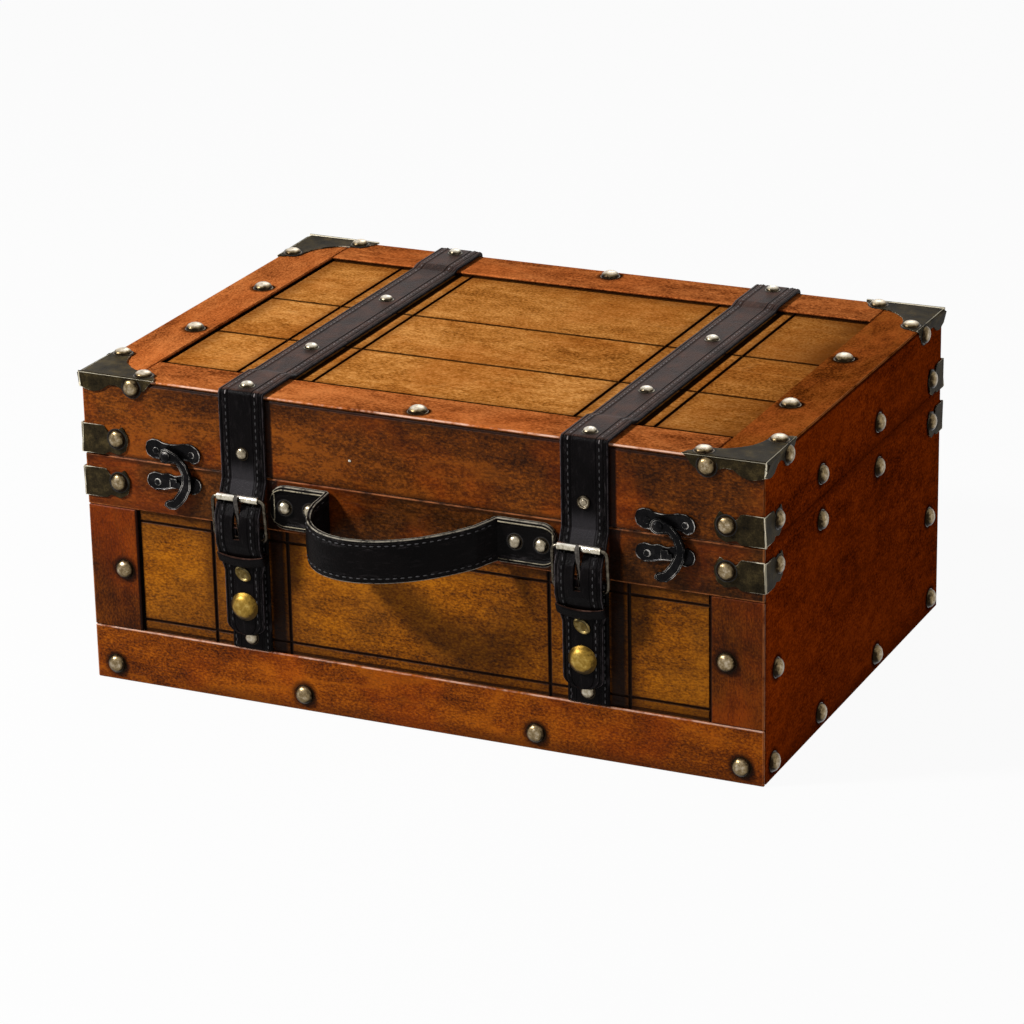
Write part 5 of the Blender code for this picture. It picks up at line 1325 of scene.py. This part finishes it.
def build_handle():
    """One stitched band with its two tabs, folded at the tabs."""
    root = TAB_INNER - FIT_GAP
    controls = [Vector((-root, HANDLE_ROOT_OUT)), Vector((HANDLE_LEAN_LEFT * root, HANDLE_PULL)),
                Vector((HANDLE_LEAN_RIGHT * root, HANDLE_PULL)), Vector((root, HANDLE_ROOT_OUT))]
    bow = []
    for step in range(HANDLE_STEPS + 1):
        share = step / HANDLE_STEPS
        weights = ((1 - share) ** 3, 3 * (1 - share) ** 2 * share, 3 * (1 - share) * share ** 2, share ** 3)
        bow.append(sum((control * weight for control, weight in zip(controls, weights)), Vector((0, 0))))
    tab_end = TAB_INNER + TAB_LENGTH
    path = filleted([(-tab_end, TAB_OUT), (-root + 0.0008, TAB_OUT), *bow[4:-4],
                     (root - 0.0008, TAB_OUT), (tab_end, TAB_OUT)], HANDLE_BEND, 4)
    kept = [path[0]]
    for place in path[1:]:
        if (place - kept[-1]).length > HANDLE_GAP_LEAST:
            kept.append(place)
    kept[-1] = path[-1]

    def sag(out):
        return HANDLE_HEIGHT - HANDLE_DROOP * max(out - HANDLE_ROOT_OUT, 0)

    route = Route([(place.x, FRONT - place.y, sag(place.y)) for place in kept], (0, 0, 1))
    whole = route.lengths[-1]

    def width(length):
        from_end = min(length, whole - length)
        share = 1.0
        if from_end < TAB_CORNER:
            reach = TAB_CORNER - from_end
            share = (TAB_HALF - TAB_CORNER + math.sqrt(max(TAB_CORNER ** 2 - reach ** 2, 0))) / TAB_HALF
        return share * (1 - 0.03 * min(max((from_end - TAB_LENGTH) / 0.006, 0), 1))

    def crown(length):
        from_end = min(length, whole - length)
        return 0.0006 * min(max((from_end - TAB_LENGTH - 0.004) / 0.012, 0), 1)

    def on_tab(length):
        from_end = min(length, whole - length)
        return 1 - min(max((from_end - TAB_LENGTH + 0.001) / 0.002, 0), 1)

    bm = bmesh.new()
    lengths = merged(route.lengths, spaced(0, TAB_CORNER, 0.0006), spaced(whole - TAB_CORNER, whole, 0.0006),
                     spaced(0, whole, 0.0025))
    swept(bm, route, mirrored_profile(HANDLE_FACE, HANDLE_SEEN), lengths, width, crown, beads=on_tab,
          tally=lambda length: min(length, whole - length))
    band = piece("handle_band", bm, "handle_leather", None,
                 ("carry_handle", "handle_tab_left", "handle_tab_right"))
    start, stop = [(0, FRONT - out, HANDLE_HEIGHT) for out in HANDLE_FOLD]
    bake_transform(band, "base", "handle", start=start, end=stop)
    bm = bmesh.new()
    for sign in (-1, 1):
        for face in (-1, 1):
            sew(bm, route, sign * HANDLE_STITCH, face * (HANDLE_SEEN / 2 - 0.00008),
                spaced(TAB_LENGTH + 0.006, whole - TAB_LENGTH - 0.006, STITCH_PITCH), width, crown, TAB_HALF)
    thread = piece("handle_thread", bm, "thread", None)
    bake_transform(thread, "base", "handle", start=start, end=stop)
    heads = [("front", (side * (TAB_INNER + inset), FRONT - TAB_OUT - 0.0009, HANDLE_HEIGHT))
             for side in (-1, 1) for inset in TAB_RIVETS]
    domes("handle_rivets", heads, SMALL_NAIL_RADIUS, TAB_RIVET_RISE, "strap_nail_metal", "base",
          28, TAB_POLISH_AND_SHADE)


build_handle()

# Latches
LATCHES = {"left": 0.0530 - HALF_WIDTH, "right": HALF_WIDTH - 0.0518}
LATCH_HALF_WIDTH = 0.016
LATCH_HALF_HEIGHT = 0.0056
LATCH_METAL = 0.0012
PLATE_HEIGHT = SEAM + 0.0078
CATCH_HEIGHT = SEAM - 0.0094
PIVOT_SHIFT = 0.0029
PIVOT_HEIGHT = SEAM + 0.0058
HOOK_METAL = 0.0016
HOOK_EYE = 0.0041
HOOK_REACH = 0.0137
HOOK_DROP = 0.0290
HOOK_BACK = FIT_GAP + LATCH_METAL + 0.0008 + FIT_GAP
PLATE_SHARES = ((-1, 0.05), (-0.94, 0.70), (-0.74, 1), (-0.52, 0.96), (-0.36, 0.74), (-0.12, 0.66),
                (0.16, 0.74), (0.44, 0.92), (0.70, 0.90), (0.92, 0.50), (1, -0.10), (0.95, -0.66),
                (0.76, -0.98), (0.56, -0.72), (0.22, -0.60), (-0.18, -0.72), (-0.44, -0.88),
                (-0.72, -0.90), (-0.94, -0.55))
CATCH_SHARES = ((-1, -0.05), (-0.93, 0.62), (-0.70, 0.95), (-0.42, 0.80), (-0.22, 0.98), (0.05, 0.72),
                (0.30, 0.95), (0.52, 0.74), (0.76, 0.92), (0.95, 0.55), (1, 0), (0.93, -0.65),
                (0.70, -1), (0.45, -0.80), (0.20, -0.55), (-0.10, -0.62), (-0.40, -0.90),
                (-0.72, -1), (-0.94, -0.60))
HOOK_SHARES = ((0.52, 0.048), (0.86, -0.128), (1.04, -0.327), (1.01, -0.573), (0.82, -0.765),
               (0.58, -0.900), (0.34, -0.990), (0.06, -1), (-0.14, -0.940), (-0.08, -0.855),
               (0.24, -0.800), (0.50, -0.640), (0.66, -0.480), (0.68, -0.330), (0.58, -0.205),
               (0.38, -0.105))
RIDGE_TOP = 0.00025
PLATE_PINS = (-0.0098, 0.0108)
PLATE_PIN = ((0.0018, 0), (0.0018, 0.0004), (0.0013, 0.0007), (0, 0.0008))
CATCH_PIN_AT = -0.0096
CATCH_PIN = ((0.0019, 0), (0.0019, 0.0004), (0.0014, 0.0007), (0, 0.0008))
PIN_DROP = 0.0006
LUG = ((-0.003, -0.0025), (0.003, -0.0025), (0.003, 0.0008), (0.0008, 0.0008), (0.0008, 0.0025),
       (-0.003, 0.0025))
LUG_SHIFT = 0.001


def cast_plate(bm, outline, thickness, matrix, waves=0.0008, rim=0.0007, sunk=0.00035, ridge=0.0):
    """A cast plate lying flat: rounded outline, raised rim, a sunk field, and a ridge along a hook."""
    before = set(bm.verts)
    corners = [bm.verts.new((across, up, 0)) for across, up in outline]
    face = bm.faces.new(corners)
    face.normal_update()
    if face.normal.z < 0:
        face.normal_flip()
    bmesh.ops.bevel(bm, geom=corners, offset=waves, segments=3, profile=0.5, affect="VERTICES",
                    material=-1, clamp_overlap=True)
    field = [part for part in bm.faces if all(vert not in before for vert in part.verts)]
    raised = bmesh.ops.extrude_face_region(bm, geom=field)["geom"]
    top = [part for part in raised if isinstance(part, bmesh.types.BMFace)]
    bmesh.ops.translate(bm, vec=(0, 0, thickness),
                        verts=[part for part in raised if isinstance(part, bmesh.types.BMVert)])
    rubbed = bm.verts.layers.float["rubbed"]
    mark(top, rubbed, 1.0)
    steps = [(rim * 0.45, 0, 0.9, True), (rim * 0.55, -sunk, 0.0, True)]
    # A hook's ridge is painted bright: wear, and a painted highlight line along it.
    if ridge:
        steps += [(step, step * 0.45, worn, False) for step, worn in ((ridge, 1.15), (RIDGE_TOP, 0.0))]
    for inset, depth, worn, even in steps:
        bmesh.ops.inset_region(bm, faces=top, thickness=inset, depth=depth, use_even_offset=even)
        mark(top, rubbed, worn)
    made = [vert for vert in bm.verts if vert not in before]
    bmesh.ops.transform(bm, matrix=matrix, verts=made)


def build_latch(side_name, centre):
    """Plate and hook on the lid, catch on the base."""
    pivot = centre - PIVOT_SHIFT
    wall = FRONT - FIT_GAP
    seat = wall - LATCH_METAL + 0.0003
    bm = new_mesh("rubbed")
    outline = [(across * LATCH_HALF_WIDTH, up * LATCH_HALF_HEIGHT) for across, up in PLATE_SHARES]
    cast_plate(bm, outline, LATCH_METAL, on("front", (centre, wall, PLATE_HEIGHT)))
    for shift in PLATE_PINS:
        turned(bm, PLATE_PIN, on("front", (centre + shift, seat, PLATE_HEIGHT - PIN_DROP)), 16, "rubbed")
    hook_front = HOOK_BACK + HOOK_METAL
    turned(bm, [(0.0030, 0), (0.0030, 0.0008), (0.0016, 0.0009), (0.0016, hook_front - 0.0011),
                (0.0026, hook_front - 0.0010), (0.0027, hook_front - 0.0005), (0.0022, hook_front + 0.0003),
                (0.0012, hook_front + 0.0008), (0, hook_front + 0.0009)],
           on("front", (pivot, seat, PIVOT_HEIGHT)), 24, "rubbed")
    piece("latch_face_" + side_name, bm, "latch_metal", "lid", ("latch_plate_" + side_name,))

    bm = new_mesh("rubbed")
    eye = []
    for step in range(9):
        angle = math.radians(300 + (80 - 300) * step / 8)
        eye.append((HOOK_EYE * math.cos(angle), HOOK_EYE * math.sin(angle)))
    outline = eye + [(across * HOOK_REACH, up * HOOK_DROP) for across, up in HOOK_SHARES]
    cast_plate(bm, outline, HOOK_METAL, on("front", (pivot, FRONT - HOOK_BACK, PIVOT_HEIGHT)), 0.0006,
               0.0004, 0.0002, 0.0004)
    piece("hook_face_" + side_name, bm, "latch_metal", "hook_" + side_name,
          ("latch_hook_" + side_name,))

    bm = new_mesh("rubbed")
    outline = [(across * LATCH_HALF_WIDTH, up * LATCH_HALF_HEIGHT * 0.9) for across, up in CATCH_SHARES]
    cast_plate(bm, outline, LATCH_METAL, on("front", (centre, wall, CATCH_HEIGHT)))
    turned(bm, CATCH_PIN, on("front", (centre + CATCH_PIN_AT, seat, CATCH_HEIGHT - PIN_DROP)), 16, "rubbed")
    cast_plate(bm, LUG, HOOK_BACK - FIT_GAP * 2 - LATCH_METAL + 0.0004,
               on("front", (centre + LUG_SHIFT, wall - LATCH_METAL + 0.0004, CATCH_HEIGHT)),
               0.0003, 0.0004, 0.0001)
    piece("catch_" + side_name, bm, "latch_metal", "base", ("latch_catch_" + side_name,))


for side_name, centre in LATCHES.items():
    build_latch(side_name, centre)

# Small bright brads
BRAD_RADIUS = 0.0008
BRAD_RISE = 0.0006
BRADS = {"base": [("left", (-HALF_WIDTH, -0.09, 0.045))],
         "lid": [("front", (-0.035, FRONT, 0.1425))]}
for body, spots in BRADS.items():
    domes("brads_" + body, spots, BRAD_RADIUS, BRAD_RISE, "buckle_silver", body, 10)

# Camera where the photograph was taken from
CAMERA_AT = (0.85987, -1.85347, 0.84134)
CAMERA_AZIMUTH = math.radians(25.0376)
CAMERA_ELEVATION = math.radians(20.5795)
CAMERA_ROLL = math.radians(-1.1703)
CAMERA_LENS = 143.25

back = Vector((math.sin(CAMERA_AZIMUTH) * math.cos(CAMERA_ELEVATION),
               -math.cos(CAMERA_AZIMUTH) * math.cos(CAMERA_ELEVATION), math.sin(CAMERA_ELEVATION)))
level = Vector((math.cos(CAMERA_AZIMUTH), math.sin(CAMERA_AZIMUTH), 0))
upright = back.cross(level)
right = level * math.cos(CAMERA_ROLL) + upright * math.sin(CAMERA_ROLL)
upward = upright * math.cos(CAMERA_ROLL) - level * math.sin(CAMERA_ROLL)
camera = placed("camera", bpy.data.cameras.new("camera"))
camera.matrix_world = Matrix.Translation(CAMERA_AT) @ Matrix((right, upward, back)).transposed().to_4x4()
camera.data.lens = CAMERA_LENS
camera.data.sensor_width = 36
camera.data.clip_start = 0.05
camera.data.clip_end = 50
bpy.context.scene.camera = camera

# Studio
bm = bmesh.new()
bmesh.ops.create_grid(bm, x_segments=1, y_segments=1, size=12)
floor_mesh = bpy.data.meshes.new("studio_floor")
bm.to_mesh(floor_mesh)
bm.free()
floor = placed("studio_floor", floor_mesh)


def seen_directly(paint):
    """1 for what the camera, a mirror or a glass sees, 0 for the light that falls on the trunk."""
    paths = paint.nodes.new("ShaderNodeLightPath").outputs
    return paint.most([Tone(paint, paths[kind]) for kind in
                       ("Is Camera Ray", "Is Glossy Ray", "Is Transmission Ray")])


paper = Finish("floor_paper", 0.9, base_color=(0.55, 0.55, 0.55, 1), specular_ior_level=0.0)
glow = paper.node("ShaderNodeEmission", {}, {"Color": (1, 1, 1, 1), "Strength": 1.0})
PAPER_GLOW = 0.95
cover = paper.node("ShaderNodeMixShader", {},
                   {0: seen_directly(paper) * PAPER_GLOW, 1: Tone(paper, paper.shader.outputs[0]), 2: glow})
paper.feed(paper.nodes["Material Output"].inputs["Surface"], cover)
floor_mesh.materials.append(paper.material)

world = bpy.data.worlds.new("studio")
bpy.context.scene.world = world
world.use_nodes = True
sky = Paint(world.node_tree)
background = sky.nodes["Background"].inputs
background["Color"].default_value = (1, 1, 1, 1)
SKY_LIGHT = 0.06
sky.feed(background["Strength"], seen_directly(sky) * (1 - SKY_LIGHT) + SKY_LIGHT)


LIGHTS_FACE = (0, 0, 0.09)


def lamp(name, place, size, power):
    """A soft square light that faces the trunk."""
    data = bpy.data.lights.new(name, "AREA")
    data.size = size
    data.energy = power
    made = placed(name, data)
    made.location = place
    made.rotation_euler = (Vector(place) - Vector(LIGHTS_FACE)).to_track_quat("Z", "Y").to_euler()


lamp("key_light", (-1.10, -0.88, 1.16), 0.21, 42)
lamp("fill_light", (2.1, -0.5, 0.9), 1.2, 10)
lamp("rim_light", (-0.4, 1.6, 1.5), 0.9, 5)

bpy.context.scene.view_settings.view_transform = "Standard"
